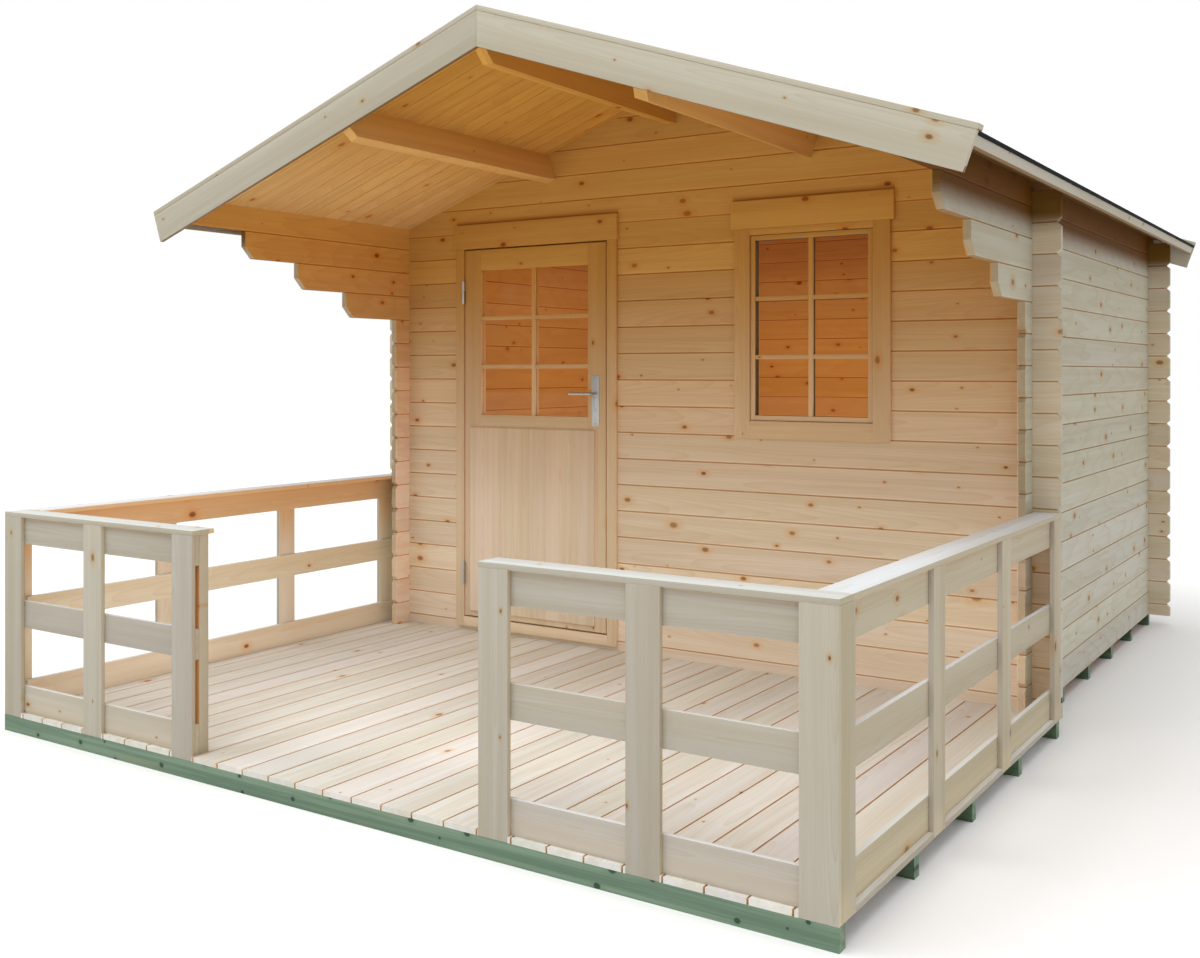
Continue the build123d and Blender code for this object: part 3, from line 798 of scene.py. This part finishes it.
def block(mesh: bmesh.types.BMesh, middle: Vector, size: Triple | Vector) -> list[bmesh.types.BMVert]:
    """Adds a plain block.

    Args:
        mesh: The mesh that takes it.
        middle: Its middle.
        size: Its width, depth and height.

    Returns:
        Its vertices.
    """
    made = bmesh.ops.create_cube(mesh, size=1.0)["verts"]
    bmesh.ops.scale(mesh, vec=size, verts=made)
    bmesh.ops.translate(mesh, vec=middle, verts=made)
    return made


def round_off(mesh: bmesh.types.BMesh, edges: Iterable[bmesh.types.BMEdge], radius: float,
              segments: int) -> list[bmesh.types.BMFace]:
    """Rounds edges.

    Args:
        mesh: The mesh that has them.
        edges: The edges.
        radius: How far the rounding reaches.
        segments: Faces across the rounding.

    Returns:
        The faces of the rounding.
    """
    shaped = bmesh.ops.bevel(mesh, geom=list(edges), offset=radius, offset_type="OFFSET", segments=segments,
                             profile=0.5, affect="EDGES", material=-1, clamp_overlap=True)
    return shaped["faces"]


def edges_of(verts: Iterable[bmesh.types.BMVert]) -> list[bmesh.types.BMEdge]:
    """All edges that end at any of the vertices, in the same order each run."""
    return list(dict.fromkeys(edge for vert in verts for edge in vert.link_edges))


def finished(name: str, mesh: bmesh.types.BMesh, smooth: bool = True) -> bpy.types.Object:
    """Turns a working mesh into an object at the origin.

    Args:
        name: The object's name.
        mesh: The working mesh, which is freed.
        smooth: Whether faces that meet at a small angle shade as one.

    Returns:
        The object.
    """
    data = bpy.data.meshes.new(name)
    mesh.normal_update()
    mesh.to_mesh(data)
    mesh.free()
    made = bpy.data.objects.new(name, data)
    bpy.context.scene.collection.objects.link(made)
    if smooth:
        for face in data.polygons:
            face.use_smooth = True
        data.set_sharp_from_angle(angle=math.radians(40.0))
    return made


class Joinery:
    """Puts pieces on their bodies and reports them."""

    def __init__(self) -> None:
        """Starts with no materials made."""
        self.made: dict[str, bpy.types.Material] = {}
        self.stock = Stock()

    def finish(self, finish: Finish) -> bpy.types.Material:
        """The material of a finish, made once."""
        if finish.name not in self.made:
            self.made[finish.name] = finish.material()
        return self.made[finish.name]

    def dress(self, nodes: Sequence[str], finish: Finish) -> None:
        """Gives construction nodes a finish.

        Args:
            nodes: Node names.
            finish: The finish they take.
        """
        for name in nodes:
            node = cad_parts[name]
            node.data.materials.clear()
            node.data.materials.append(self.finish(finish))
            log.info("dressed %s in %s", name, finish.name)

    def add(self, piece: bpy.types.Object, finish: Finish, body: str, slot: str,
            stands_for: Sequence[str] = ()) -> bpy.types.Object:
        """Finishes a new piece and hangs it on its body.

        Args:
            piece: The new piece.
            finish: Its finish.
            body: The body it moves with.
            slot: The record's material slot; not used.
            stands_for: Construction nodes that it replaces.

        Returns:
            The piece.
        """
        piece.data.materials.append(self.finish(finish))
        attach(piece, body)
        if stands_for:
            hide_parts(*stands_for)
        log.info("made %s on %s", piece.name, body)
        return piece

    def lay(self, node: str, boards: Iterable["Board | Slope"], finish: Finish, slot: str,
            body: str = "house", word: str = "board") -> None:
        """Makes a piece of boards that stands for a construction node.

        Args:
            node: The node that it replaces.
            boards: The boards it is made of.
            finish: Their finish.
            slot: The record's material slot.
            body: The body it moves with.
            word: The end of the piece's name.
        """
        self.add(self.stock.piece(f"{node}_{word}", boards), finish, body, slot, (node,))


def surround(x: Span, z: Span, ends: Span, wide: float, y: Span) -> list[Board]:
    """Four boards around an opening: left, right, below and above.

    Args:
        x: Left and right of the opening.
        z: Bottom and top of the opening.
        ends: Bottom and top of the upright boards.
        wide: Width of the upright boards.
        y: Front and back of the boards.

    Returns:
        The boards.
    """
    return [Board((x[0] - wide, x[0]), y, ends, Axis.Z), Board((x[1], x[1] + wide), y, ends, Axis.Z),
            Board(x, y, (ends[0], z[0]), Axis.X), Board(x, y, (z[1], ends[1]), Axis.X)]


LOGS_ACROSS = Lay(along=(1, 0, 0), across=(0, 0, 1), deep=(0, 1, 0), pitch=COURSE,
                  start=BEARER_TOP + COURSE / 2, joint=0.0040)
LOGS_BACK = Lay(along=(0, 1, 0), across=(0, 0, 1), deep=(1, 0, 0), pitch=COURSE, start=BEARER_TOP,
                joint=0.0040)
DOWN = (math.cos(SLOPE), 0.0, -math.sin(SLOPE))
LIFT = (math.sin(SLOPE), 0.0, math.cos(SLOPE))


@dataclass
class Walls:
    """Log walls and gables, which keep their construction solids."""

    joinery: Joinery
    across: tuple[str, ...] = ("front_wall_left", "threshold_log", "front_wall_middle",
                               "front_wall_under_window", "front_wall_right", "front_gable")
    rear: tuple[str, ...] = ("rear_wall", "rear_gable")

    def build(self) -> None:
        """Dresses the walls."""
        self.joinery.dress(self.across, Spruce("spruce_front_logs", Zone.WALLS, LOGS_ACROSS, 3.0))
        self.joinery.dress(self.rear, Spruce("spruce_rear_logs", Zone.WALLS, LOGS_ACROSS, 51.0))
        self.joinery.dress(("left_wall",), Spruce("spruce_left_logs", Zone.WALLS, LOGS_BACK, 97.0))
        self.joinery.dress(("right_wall",), Spruce("spruce_right_logs", Zone.WALLS, LOGS_BACK, 143.0))


@dataclass
class Roof:
    """Purlins, boards, felt, barge boards and fascia."""

    joinery: Joinery
    board_pitch: float = 0.0946
    boards_front: float = 0.766
    barge_thick: float = 0.018
    barge_tall: float = 0.118
    cap_thick: float = 0.018
    cap_wide: float = 0.045
    fascia_thick: float = 0.018
    fascia_rise: Span = (-0.026, 0.019)
    felt_lip: float = 0.004

    def edges(self) -> None:
        """Makes the barge boards, their cap strips and the eave boards."""
        join = self.joinery
        reach = (ROOF_HALF - (FELT_TOP + self.cap_thick) * math.sin(SLOPE)) / math.cos(SLOPE)
        eave = reach - self.felt_lip
        thick, wide = self.barge_thick, self.cap_wide
        front = ("front", (ROOF_FRONT_Y, ROOF_FRONT_Y + thick), (ROOF_FRONT_Y, ROOF_FRONT_Y + wide))
        rear = ("rear", (ROOF_REAR_Y - thick, ROOF_REAR_Y), (ROOF_REAR_Y - wide, ROOF_REAR_Y))
        outside = Spruce("spruce_barge", Zone.OUTSIDE, knot_share=0.5)
        between = (ROOF_FRONT_Y + thick, ROOF_REAR_Y - thick)
        for end, barge_y, cap_y in (front, rear):
            caps = []
            for word, side in (("left", -1), ("right", 1)):
                barge = Slope(side, (FELT_TOP - self.barge_tall, FELT_TOP), (0.0, reach), barge_y)
                caps.append(Slope(side, (FELT_TOP, FELT_TOP + self.cap_thick), (0.0, reach), cap_y))
                join.lay(f"{end}_barge_{word}", [barge], outside, "trim_wood")
            join.lay(f"{end}_barge_caps", caps, outside, "trim_wood", word="strips")
        for word, side in (("left", -1), ("right", 1)):
            board = Slope(side, self.fascia_rise, (eave - self.fascia_thick, eave), between, along_y=True)
            join.lay(f"eave_fascia_{word}", [board], outside, "trim_wood")

    def build(self) -> None:
        """Dresses the roof and makes its edge boards."""
        boards = Lay(along=DOWN, across=(0, 1, 0), deep=LIFT, pitch=self.board_pitch,
                     start=local_y(self.boards_front), mirrored=True, joint=0.0025)
        purlin = Lay(along=(0, 1, 0), across=LIFT, deep=DOWN, mirrored=True)
        join = self.joinery
        join.dress(("roof_boards_left", "roof_boards_right"),
                  Spruce("spruce_soffit", Zone.ROOF, boards, 11.0, knot_share=0.26))
        join.dress(("left_purlin", "right_purlin", "ridge_purlin"),
                  Spruce("spruce_purlin", Zone.ROOF, purlin, 17.0, knot_share=0.30))
        join.dress(("roof_felt_left", "roof_felt_right"), Felt())
        self.edges()


@dataclass
class Base:
    """Bearers, terrace boards and floor."""

    joinery: Joinery
    deck_half: float = 1.603
    deck_pitch: float = 3.206 / 28
    floor_pitch: float = 2.944 / 30

    def build(self) -> None:
        """Dresses the base."""
        deck = Lay(along=(0, 1, 0), across=(1, 0, 0), deep=(0, 0, 1), pitch=self.deck_pitch,
                   start=-self.deck_half)
        floor = Lay(along=(0, 1, 0), across=(1, 0, 0), deep=(0, 0, 1), pitch=self.floor_pitch,
                    start=-WALL_IN_X, joint=0.0015)
        self.joinery.dress(("terrace_bearers", "house_bearers"), Treated())
        self.joinery.dress(("deck_boards",), Spruce("spruce_deck", Zone.DECK, deck, 201.0, knot_share=0.14))
        self.joinery.dress(("floor_boards",), Spruce("spruce_floor", Zone.WALLS, floor, 251.0))


@dataclass
class Railing:
    """Boards of the four railings and their hand rails."""

    joinery: Joinery
    thick: float = 0.016
    wide: float = 0.098
    top: float = 0.742
    cap: float = 0.092
    entrance: float = 0.578
    half: float = 1.600
    corner: float = 0.086
    run: float = 2.130
    mid_rail: float = 0.324
    end_post: Span = (0.058, 0.038)
    overhang: float = 0.002

    def rails(self) -> tuple[float, float, float]:
        """Heights at which the three rails start."""
        return (self.thick, self.mid_rail, self.top - self.thick - self.wide)

    def side(self, span: Span, sign: int) -> Span:
        """An X range of the right side, or its mirror image."""
        low, high = sorted((sign * span[0], sign * span[1]))
        return (low, high)

    def front(self, sign: int) -> list[Board]:
        """Boards of the front railing on one side of the entrance.

        Args:
            sign: 1 for the right side, -1 for the left.

        Returns:
            The boards.
        """
        pitch = (self.half - self.entrance - self.wide) / 2
        under = self.top - self.thick
        boards = []
        for n in range(3):
            start = self.entrance + n * pitch
            upright = self.side((start, start + self.wide), sign)
            boards.append(Board(upright, y_span(0, self.thick), z_span(0, under), Axis.Z))
        for z in self.rails():
            boards.append(Board(self.side((self.entrance, self.half - self.thick), sign),
                                y_span(self.thick, 2 * self.thick), z_span(z, z + self.wide), Axis.X))
        wide, deep = self.end_post
        boards.append(Board(self.side((self.entrance, self.entrance + wide), sign),
                            y_span(2 * self.thick, 2 * self.thick + deep), z_span(self.thick, under),
                            Axis.Z))
        return boards

    def flank(self, sign: int) -> list[Board]:
        """Boards of a side railing.

        Args:
            sign: 1 for the right side, -1 for the left.

        Returns:
            The boards.
        """
        outer = self.side((self.half - self.thick, self.half), sign)
        inner = self.side((self.half - 2 * self.thick, self.half - self.thick), sign)
        pitch = (self.run - self.wide) / 3
        under = self.top - self.thick
        posts = [(self.thick, self.thick + self.corner)]
        posts += [(n * pitch, n * pitch + self.wide) for n in (1, 2, 3)]
        boards = [Board(outer, y_span(low, high), z_span(0, under), Axis.Z) for low, high in posts]
        behind = y_span(2 * self.thick, self.run)
        return boards + [Board(inner, behind, z_span(z, z + self.wide), Axis.Y) for z in self.rails()]

    def build(self) -> None:
        """Makes the railings and hand rails."""
        finish = Spruce("spruce_railing", Zone.RAILING, knot_share=0.26)
        top = z_span(self.top - self.thick, self.top)
        for word, sign in (("left", -1), ("right", 1)):
            front_x = self.side((self.entrance - self.overhang, self.half), sign)
            side_x = self.side((self.half - self.cap, self.half), sign)
            pieces = {
                f"railing_front_{word}": self.front(sign),
                f"railing_{word}": self.flank(sign),
                f"handrail_front_{word}": [Board(front_x, y_span(0, self.cap), top, Axis.X)],
                f"handrail_{word}": [Board(side_x, y_span(self.cap, self.run), top, Axis.Y)],
            }
            for node, boards in pieces.items():
                self.joinery.lay(node, boards, finish, "railing_wood", word="boards")


@dataclass
class Door:
    """Door frame, trim, leaf, panel boards and furniture."""

    joinery: Joinery
    middle: float = -0.7145
    width: float = 0.790
    height: float = 1.744
    sill: float = 0.088
    face: float = 2.114
    thick: float = 0.040
    gap: float = 0.007
    trim_wide: float = 0.046
    trim_thick: float = 0.018
    trim_low: float = 0.035
    header_tall: float = 0.116
    header_thick: float = 0.020
    header_x: Span = (-0.459, 0.452)
    glass: Span = (0.602, 0.687)
    glass_low: float = 1.049
    bar: float = 0.018
    panel_x: Span = (-0.358, 0.338)
    panel_z: Span = (0.028, 0.908)
    bar_set: float = 0.004
    pane_gap: float = 0.002
    panel_lap: float = 0.020
    planed: float = 0.008
    panel_boards: int = 8
    panel_thick: float = 0.010

    def leaf(self) -> list[Board]:
        """Stiles, rails and glazing bars of the leaf."""
        left, right = self.middle - self.width / 2, self.middle + self.width / 2
        low, high = local_z(self.sill), local_z(self.sill + self.height)
        glass_x = (self.middle - self.glass[0] / 2, self.middle + self.glass[0] / 2)
        glass_z = z_span(self.glass_low, self.glass_low + self.glass[1])
        deep = y_span(self.face, self.face + self.thick)
        lap = local_z(self.sill + self.panel_z[1] - self.panel_lap)
        boards = [
            Board((left, glass_x[0]), deep, (low, high), Axis.Z),
            Board((glass_x[1], right), deep, (low, high), Axis.Z),
            Board(glass_x, deep, (glass_z[1], high), Axis.X),
            Board(glass_x, deep, (lap, glass_z[0]), Axis.X),
            Board(glass_x, deep, (low, lap), Axis.Z),
        ]
        pane = local_y(self.face + self.thick / 2)
        outer, inner = y_span(self.face + self.bar_set, self.face + self.thick - self.bar_set)
        for bars_y in ((outer, pane - self.pane_gap), (pane + self.pane_gap, inner)):
            boards += glazing_bars(glass_x, glass_z, bars_y, self.bar)
        return boards

    def panel(self) -> list[Board]:
        """Vertical boards that cover the lower half."""
        left, right = self.middle + self.panel_x[0], self.middle + self.panel_x[1]
        low, high = local_z(self.sill + self.panel_z[0]), local_z(self.sill + self.panel_z[1])
        step = (right - left) / self.panel_boards
        deep = y_span(self.face - self.panel_thick, self.face)
        return [Board((left + n * step, left + (n + 1) * step), deep, (low, high), Axis.Z,
                      planed=self.planed) for n in range(self.panel_boards)]

    def trim(self) -> list[Board]:
        """Trim boards on all four sides, with the tall header."""
        half = self.width / 2 + self.gap
        low, high = local_z(self.sill - self.gap), local_z(self.sill + self.height + self.gap)
        base = local_z(self.trim_low)
        wall = WALL_FACE_Y
        deep = (wall - self.trim_thick, wall)
        left, right = self.middle - half, self.middle + half
        header = Board((self.middle + self.header_x[0], self.middle + self.header_x[1]),
                       (wall - self.header_thick, wall), (high, high + self.header_tall), Axis.X)
        # The header takes the place of the board above.
        return surround((left, right), (low, high), (base, high), self.trim_wide, deep)[:3] + [header]

    def build(self) -> None:
        """Makes the door's wood and dresses its metal."""
        join = self.joinery
        wood = Spruce("spruce_door", Zone.WALLS, knot_share=0.30, cast=JOINERY_CAST)
        calm = Spruce("spruce_door_panel", Zone.WALLS, knot_share=0.10)
        join.lay("door_leaf", self.leaf(), wood, "joinery_wood", "door", "boards")
        join.lay("door_panel", self.panel(), calm, "joinery_wood", "door", "boards")
        join.lay("door_trim", self.trim(), wood, "trim_wood", word="boards")
        upright = Lay(along=(0, 0, 1), across=(1, 0, 0), deep=(0, 1, 0))
        join.dress(("door_frame",), Spruce("spruce_door_frame", Zone.WALLS, upright, 61.0))
        join.dress(("door_glass",), Pane())
        steel = Metal("satin_metal", (0.60, 0.60, 0.59), 0.30)
        join.dress(("door_hinge_pins", "door_hinge_knuckles"), steel)
        Furniture(join, steel).build()


@dataclass
class Furniture:
    """Handle plates with screws and keyholes, and the lever on both faces."""

    joinery: Joinery
    steel: Metal
    x: float = -0.3715
    z: float = 1.154
    faces: Span = (2.114, 2.154)
    plate: Span = (0.039, 0.226)
    plate_below: float = 0.145
    plate_thick: float = 0.003
    corner: float = 0.003
    edge: float = 0.0008
    screws: Span = (0.012, 0.214)
    screw_r: float = 0.0042
    key_z: float = 0.072
    key_r: float = 0.0085
    key_slot: Span = (0.0012, 0.0090)
    raised: float = 0.0012
    collar_r: float = 0.0115
    collar_tall: float = 0.004
    lever_r: float = 0.0072
    lever_len: float = 0.114
    reach: float = 0.048
    bend_r: float = 0.017
    around: int = 24
    bend_steps: int = 8
    cap_steps: int = 5

    def disc(self, mesh: bmesh.types.BMesh, centre: Vector, out: int, radius: float, tall: float) -> None:
        """Adds a low round boss with a rounded rim.

        Args:
            mesh: The mesh that takes it.
            centre: Middle of its foot.
            out: -1 on the outer face, 1 on the inner face.
            radius: Its radius.
            tall: Its height.
        """
        made = bmesh.ops.create_cone(mesh, cap_ends=True, segments=self.around, radius1=radius,
                                     radius2=radius, depth=tall)["verts"]
        bmesh.ops.rotate(mesh, verts=made, cent=(0, 0, 0), matrix=Matrix.Rotation(math.pi / 2, 3, "X"))
        bmesh.ops.translate(mesh, verts=made, vec=centre + Vector((0, out * tall / 2, 0)))
        rim = [edge for edge in edges_of(made)
               if all(abs(vert.co.y - centre.y - out * tall) < tall / 10 for vert in edge.verts)]
        round_off(mesh, rim, tall * 0.45, 3)

    def plates(self) -> tuple[bpy.types.Object, bpy.types.Object]:
        """Both plates with collars, screws and lock cylinders, and the dark slots."""
        metal, dark = bmesh.new(), bmesh.new()
        wide, tall = self.plate
        low = local_z(self.z - self.plate_below)
        for y, out in zip(self.faces, (-1, 1)):
            foot = local_y(y)
            middle = Vector((self.x, foot + out * self.plate_thick / 2, low + tall / 2))
            made = block(metal, middle, (wide, self.plate_thick, tall))
            upright = [edge for edge in edges_of(made)
                       if abs(edge.verts[0].co.y - edge.verts[1].co.y) > self.plate_thick / 2]
            shaped = round_off(metal, upright, self.corner, 4)
            rim_y = foot + out * self.plate_thick
            near = edges_of(vert for face in shaped for vert in face.verts)
            rim = [edge for edge in near
                   if all(abs(vert.co.y - rim_y) < self.edge / 4 for vert in edge.verts)]
            round_off(metal, rim, self.edge, ROUND_STEPS)
            self.disc(metal, Vector((self.x, rim_y, local_z(self.z))), out, self.collar_r, self.collar_tall)
            for height in self.screws:
                head = Vector((self.x, rim_y, low + height))
                self.disc(metal, head, out, self.screw_r, self.raised)
                top = head + Vector((0, out * self.raised, 0))
                block(dark, top, (self.screw_r * 1.3, self.edge / 4, self.screw_r * 0.22))
                block(dark, top, (self.screw_r * 0.22, self.edge / 4, self.screw_r * 1.3))
            key = Vector((self.x, rim_y, low + self.key_z))
            slot_wide, slot_tall = self.key_slot
            self.disc(metal, key, out, self.key_r, self.raised)
            face = key + Vector((0, out * self.raised, 0))
            block(dark, face, (slot_wide, self.edge / 4, slot_tall))
        return finished("handle_plates_detail", metal), finished("handle_keyholes", dark, smooth=False)

    def arm(self, mesh: bmesh.types.BMesh, y: float, out: int) -> None:
        """Adds one lever: a neck out of the leaf, a bend and a round-ended bar.

        Args:
            mesh: The mesh that takes it.
            y: The leaf's face.
            out: -1 on the outer face, 1 on the inner face.
        """
        x, z = self.x, local_z(self.z)
        turn = y + out * self.reach
        spots = [(Vector((x, y, z)), Vector((0, out, 0)), 1.0)]
        for n in range(self.bend_steps + 1):
            angle = math.pi / 2 * n / self.bend_steps
            spot = Vector((x - self.bend_r * (1 - math.cos(angle)),
                           turn - out * self.bend_r * (1 - math.sin(angle)), z))
            spots.append((spot, Vector((-math.sin(angle), out * math.cos(angle), 0)), 1.0))
        tip = x - self.lever_len + self.lever_r
        for n in range(self.cap_steps):
            angle = math.pi / 2 * n / self.cap_steps
            spots.append((Vector((tip - self.lever_r * math.sin(angle), turn, z)), Vector((-1, 0, 0)),
                          math.cos(angle)))
        rings = []
        up = Vector((0, 0, 1))
        for spot, way, share in spots:
            flat = way.cross(up)
            ring = []
            for n in range(self.around):
                angle = 2 * math.pi * n / self.around
                ring.append(mesh.verts.new(spot + self.lever_r * share
                                           * (flat * math.cos(angle) + up * math.sin(angle))))
            rings.append(ring)
        faces = [mesh.faces.new(rings[0]), mesh.faces.new(rings[-1])]
        for first, second in zip(rings, rings[1:]):
            for n in range(self.around):
                after = (n + 1) % self.around
                faces.append(mesh.faces.new((first[n], first[after], second[after], second[n])))
        bmesh.ops.recalc_face_normals(mesh, faces=faces)

    def build(self) -> None:
        """Makes the plates, the keyholes and the lever."""
        join = self.joinery
        plates, holes = self.plates()
        join.add(plates, self.steel, "door", "satin_metal", ("handle_plates",))
        join.add(holes, Plain("keyhole_dark", (0.020, 0.018, 0.016), 0.5), "door", "satin_metal")
        mesh = bmesh.new()
        for y, out in zip(self.faces, (-1, 1)):
            self.arm(mesh, local_y(y), out)
        join.add(finished("door_lever_round", mesh), self.steel, "lever", "satin_metal", ("door_lever",))


def glazing_bars(x: Span, z: Span, y: Span, wide: float) -> list[Board]:
    """Bars that divide a pane into two by three.

    Args:
        x: Left and right of the pane.
        z: Bottom and top of the pane.
        y: Front and back of the bars.
        wide: Width of the bars.

    Returns:
        The bars.
    """
    middle = (x[0] + x[1]) / 2
    half = wide / 2
    bars = [Board((middle - half, middle + half), y, z, Axis.Z)]
    for n in (1, 2):
        height = z[0] + (z[1] - z[0]) * n / 3
        for ends in ((x[0], middle - half), (middle + half, x[1])):
            bars.append(Board(ends, y, (height - half, height + half), Axis.X))
    return bars


@dataclass
class Window:
    """Fixed window with its sash, bars and trim."""

    joinery: Joinery
    middle: float = 0.642
    sash_wide: float = 0.523
    sash_z: Span = (1.053, 1.816)
    rim: float = 0.020
    trim_wide: float = 0.068
    trim_thick: float = 0.018
    trim_z: Span = (0.978, 1.846)
    gap: float = 0.002
    header_half: float = 0.347
    header_tall: float = 0.116
    header_thick: float = 0.020
    bar: float = 0.018
    lining: float = 0.010
    frame_deep: float = 0.058
    face_deep: float = 0.006
    rebate_deep: float = 0.030
    bars_outside: Span = (0.004, 0.020)
    bars_inside: Span = (0.024, 0.034)

    def sash(self, inside: bool) -> list[Board]:
        """Sash members and glazing bars, with the lining.

        Args:
            inside: Whether to make the dark half behind the pane's rebate, or the face.

        Returns:
            The boards.
        """
        half = self.sash_wide / 2
        left, right = self.middle - half, self.middle + half
        low, high = local_z(self.sash_z[0]), local_z(self.sash_z[1])
        front = WALL_FACE_Y - self.trim_thick / 2
        clear_x = (left + self.rim, right - self.rim)
        clear_z = (low + self.rim, high - self.rim)
        if inside:
            deep = (front + self.face_deep, WALL_FACE_Y + self.rebate_deep)
            bars = self.bars_inside
        else:
            deep = (front, front + self.face_deep)
            bars = self.bars_outside
        boards = glazing_bars(clear_x, clear_z, (front + bars[0], front + bars[1]), self.bar)
        if not inside:
            lining = (WALL_FACE_Y, WALL_FACE_Y + self.frame_deep)
            ends = (low - self.lining, high + self.lining)
            boards += surround((left, right), (low, high), ends, self.lining, lining)
        return boards + surround(clear_x, clear_z, (low, high), self.rim, deep)

    def trim(self) -> list[Board]:
        """Trim boards with the tall header."""
        half = self.sash_wide / 2 + self.gap
        low, high = local_z(self.trim_z[0]), local_z(self.trim_z[1])
        deep = (WALL_FACE_Y - self.trim_thick, WALL_FACE_Y)
        left, right = self.middle - half, self.middle + half
        sill, head = local_z(self.sash_z[0] - self.gap), local_z(self.sash_z[1] + self.gap)
        header = Board((self.middle - self.header_half, self.middle + self.header_half),
                       (WALL_FACE_Y - self.header_thick, WALL_FACE_Y), (high, high + self.header_tall),
                       Axis.X)
        return surround((left, right), (sill, head), (low, high), self.trim_wide, deep) + [header]

    def build(self) -> None:
        """Makes the window's wood and dresses its glass."""
        join = self.joinery
        wood = Spruce("spruce_window", Zone.WALLS, knot_share=0.30, cast=JOINERY_CAST)
        dark = Plain("window_rebate", (0.105, 0.092, 0.055), 0.5)
        sash = join.stock.piece("window_sash_boards", self.sash(inside=False))
        rebate = join.stock.piece("window_rebate_boards", self.sash(inside=True))
        join.add(sash, wood, "house", "trim_wood", ("window_frame",))
        join.add(rebate, dark, "house", "trim_wood")
        join.lay("window_trim", self.trim(), wood, "trim_wood", word="boards")
        join.dress(("window_glass",), Pane())


@dataclass
class Studio:
    """Floor, soft light and the camera at the photograph's place."""

    picture: tuple[int, int] = (1200, 958)
    focal_px: float = 1288.845
    centre_px: tuple[float, float] = (536.957, 371.297)
    eye: Triple = (2.6921, -5.1143, 1.3134)
    turn: float = 0.60526
    sensor: float = 36.0
    floor_half: float = 60.0
    sky_low: float = 0.34
    sky_high: float = 0.90
    sun: float = 2.1
    sun_angle: float = 60.0
    sun_way: Triple = (0.18, 0.40, -1.0)
    lamp_colour: Triple = (1.0, 0.93, 0.84)
    fill_size: Span = (1.2, 0.6)
    fill_place: Triple = (0.1, -2.0, 0.72)
    fill_way: Triple = (-0.30, 1.0, -0.05)
    fill_power: float = 2.6
    room_size: Span = (2.2, 1.6)
    room_place: Triple = (0.0, 0.95, 2.02)
    room_power: float = 12.0
    room_foot: Triple = (0.0, 0.95, 0.14)
    foot_power: float = 18.0

    def floor(self) -> None:
        """A plain pale floor."""
        mesh = bmesh.new()
        bmesh.ops.create_grid(mesh, x_segments=1, y_segments=1, size=self.floor_half)
        piece = finished("studio_floor", mesh, smooth=False)
        g = Graph("studio_floor")
        g.set(Base_Color=(0.88, 0.88, 0.88), Roughness=0.9)
        piece.data.materials.append(g.material)

    def light(self) -> None:
        """A graded white surround, one wide soft sun and three hidden soft lamps."""
        world = bpy.data.worlds.new("studio")
        bpy.context.scene.world = world
        world.use_nodes = True
        tree = world.node_tree
        sky = tree.nodes["Background"]
        sky.inputs["Color"].default_value = (1.0, 1.0, 1.0, 1.0)
        spot = tree.nodes.new("ShaderNodeTexCoord")
        parts = tree.nodes.new("ShaderNodeSeparateXYZ")
        rise = tree.nodes.new("ShaderNodeMapRange")
        rise.inputs["To Min"].default_value = self.sky_low
        rise.inputs["To Max"].default_value = self.sky_high
        path = tree.nodes.new("ShaderNodeLightPath")
        shown = tree.nodes.new("ShaderNodeMath")
        shown.operation = "MAXIMUM"
        tree.links.new(spot.outputs["Generated"], parts.inputs[0])
        tree.links.new(parts.outputs["Z"], rise.inputs["Value"])
        tree.links.new(rise.outputs[0], shown.inputs[0])
        tree.links.new(path.outputs["Is Camera Ray"], shown.inputs[1])
        tree.links.new(shown.outputs[0], sky.inputs["Strength"])
        lamp = bpy.data.lights.new("window_light", "SUN")
        lamp.energy = self.sun
        lamp.angle = math.radians(self.sun_angle)
        holder = bpy.data.objects.new("window_light", lamp)
        holder.rotation_euler = Vector(self.sun_way).to_track_quat("-Z", "Y").to_euler()
        bpy.context.scene.collection.objects.link(holder)
        self.panel("room_light", self.room_size, self.room_place, (0.0, 0.0, -1.0), self.room_power)
        self.panel("room_foot", self.room_size, self.room_foot, (0.0, 0.0, 1.0), self.foot_power)
        self.panel("terrace_fill", self.fill_size, self.fill_place, self.fill_way, self.fill_power)

    def panel(self, name: str, size: Span, place: Triple, way: Triple, power: float) -> None:
        """A soft lamp that the camera doesn't see.

        Args:
            name: The lamp's name.
            size: Its width and height.
            place: Its middle.
            way: The direction it faces.
            power: Its power in watts.
        """
        lamp = bpy.data.lights.new(name, "AREA")
        lamp.shape = "RECTANGLE"
        lamp.size, lamp.size_y = size
        lamp.energy = power
        lamp.color = self.lamp_colour
        holder = bpy.data.objects.new(name, lamp)
        holder.location = place
        holder.rotation_euler = Vector(way).to_track_quat("-Z", "Y").to_euler()
        holder.visible_camera = False
        holder.visible_glossy = False
        bpy.context.scene.collection.objects.link(holder)

    def camera(self) -> None:
        """The camera, level and turned as the photograph's."""
        wide, tall = self.picture
        data = bpy.data.cameras.new("camera")
        data.sensor_width = self.sensor
        data.lens = self.focal_px * self.sensor / wide
        data.shift_x = 0.5 - self.centre_px[0] / wide
        data.shift_y = (self.centre_px[1] - tall / 2) / wide
        data.clip_end = 200.0
        holder = bpy.data.objects.new("camera", data)
        holder.location = self.eye
        holder.rotation_euler = (math.pi / 2, 0.0, self.turn)
        bpy.context.scene.collection.objects.link(holder)
        bpy.context.scene.camera = holder

    def build(self) -> None:
        """Sets the studio up."""
        bpy.context.scene.view_settings.view_transform = "Standard"
        self.camera()
        self.floor()
        self.light()


def main() -> None:
    """Builds every sub-assembly in order."""
    logging.basicConfig(level=logging.INFO, format="%(message)s")
    joinery = Joinery()
    Base(joinery).build()
    Walls(joinery).build()
    Roof(joinery).build()
    Railing(joinery).build()
    Door(joinery).build()
    Window(joinery).build()
    Studio().build()


if __name__ == "__main__":
    main()
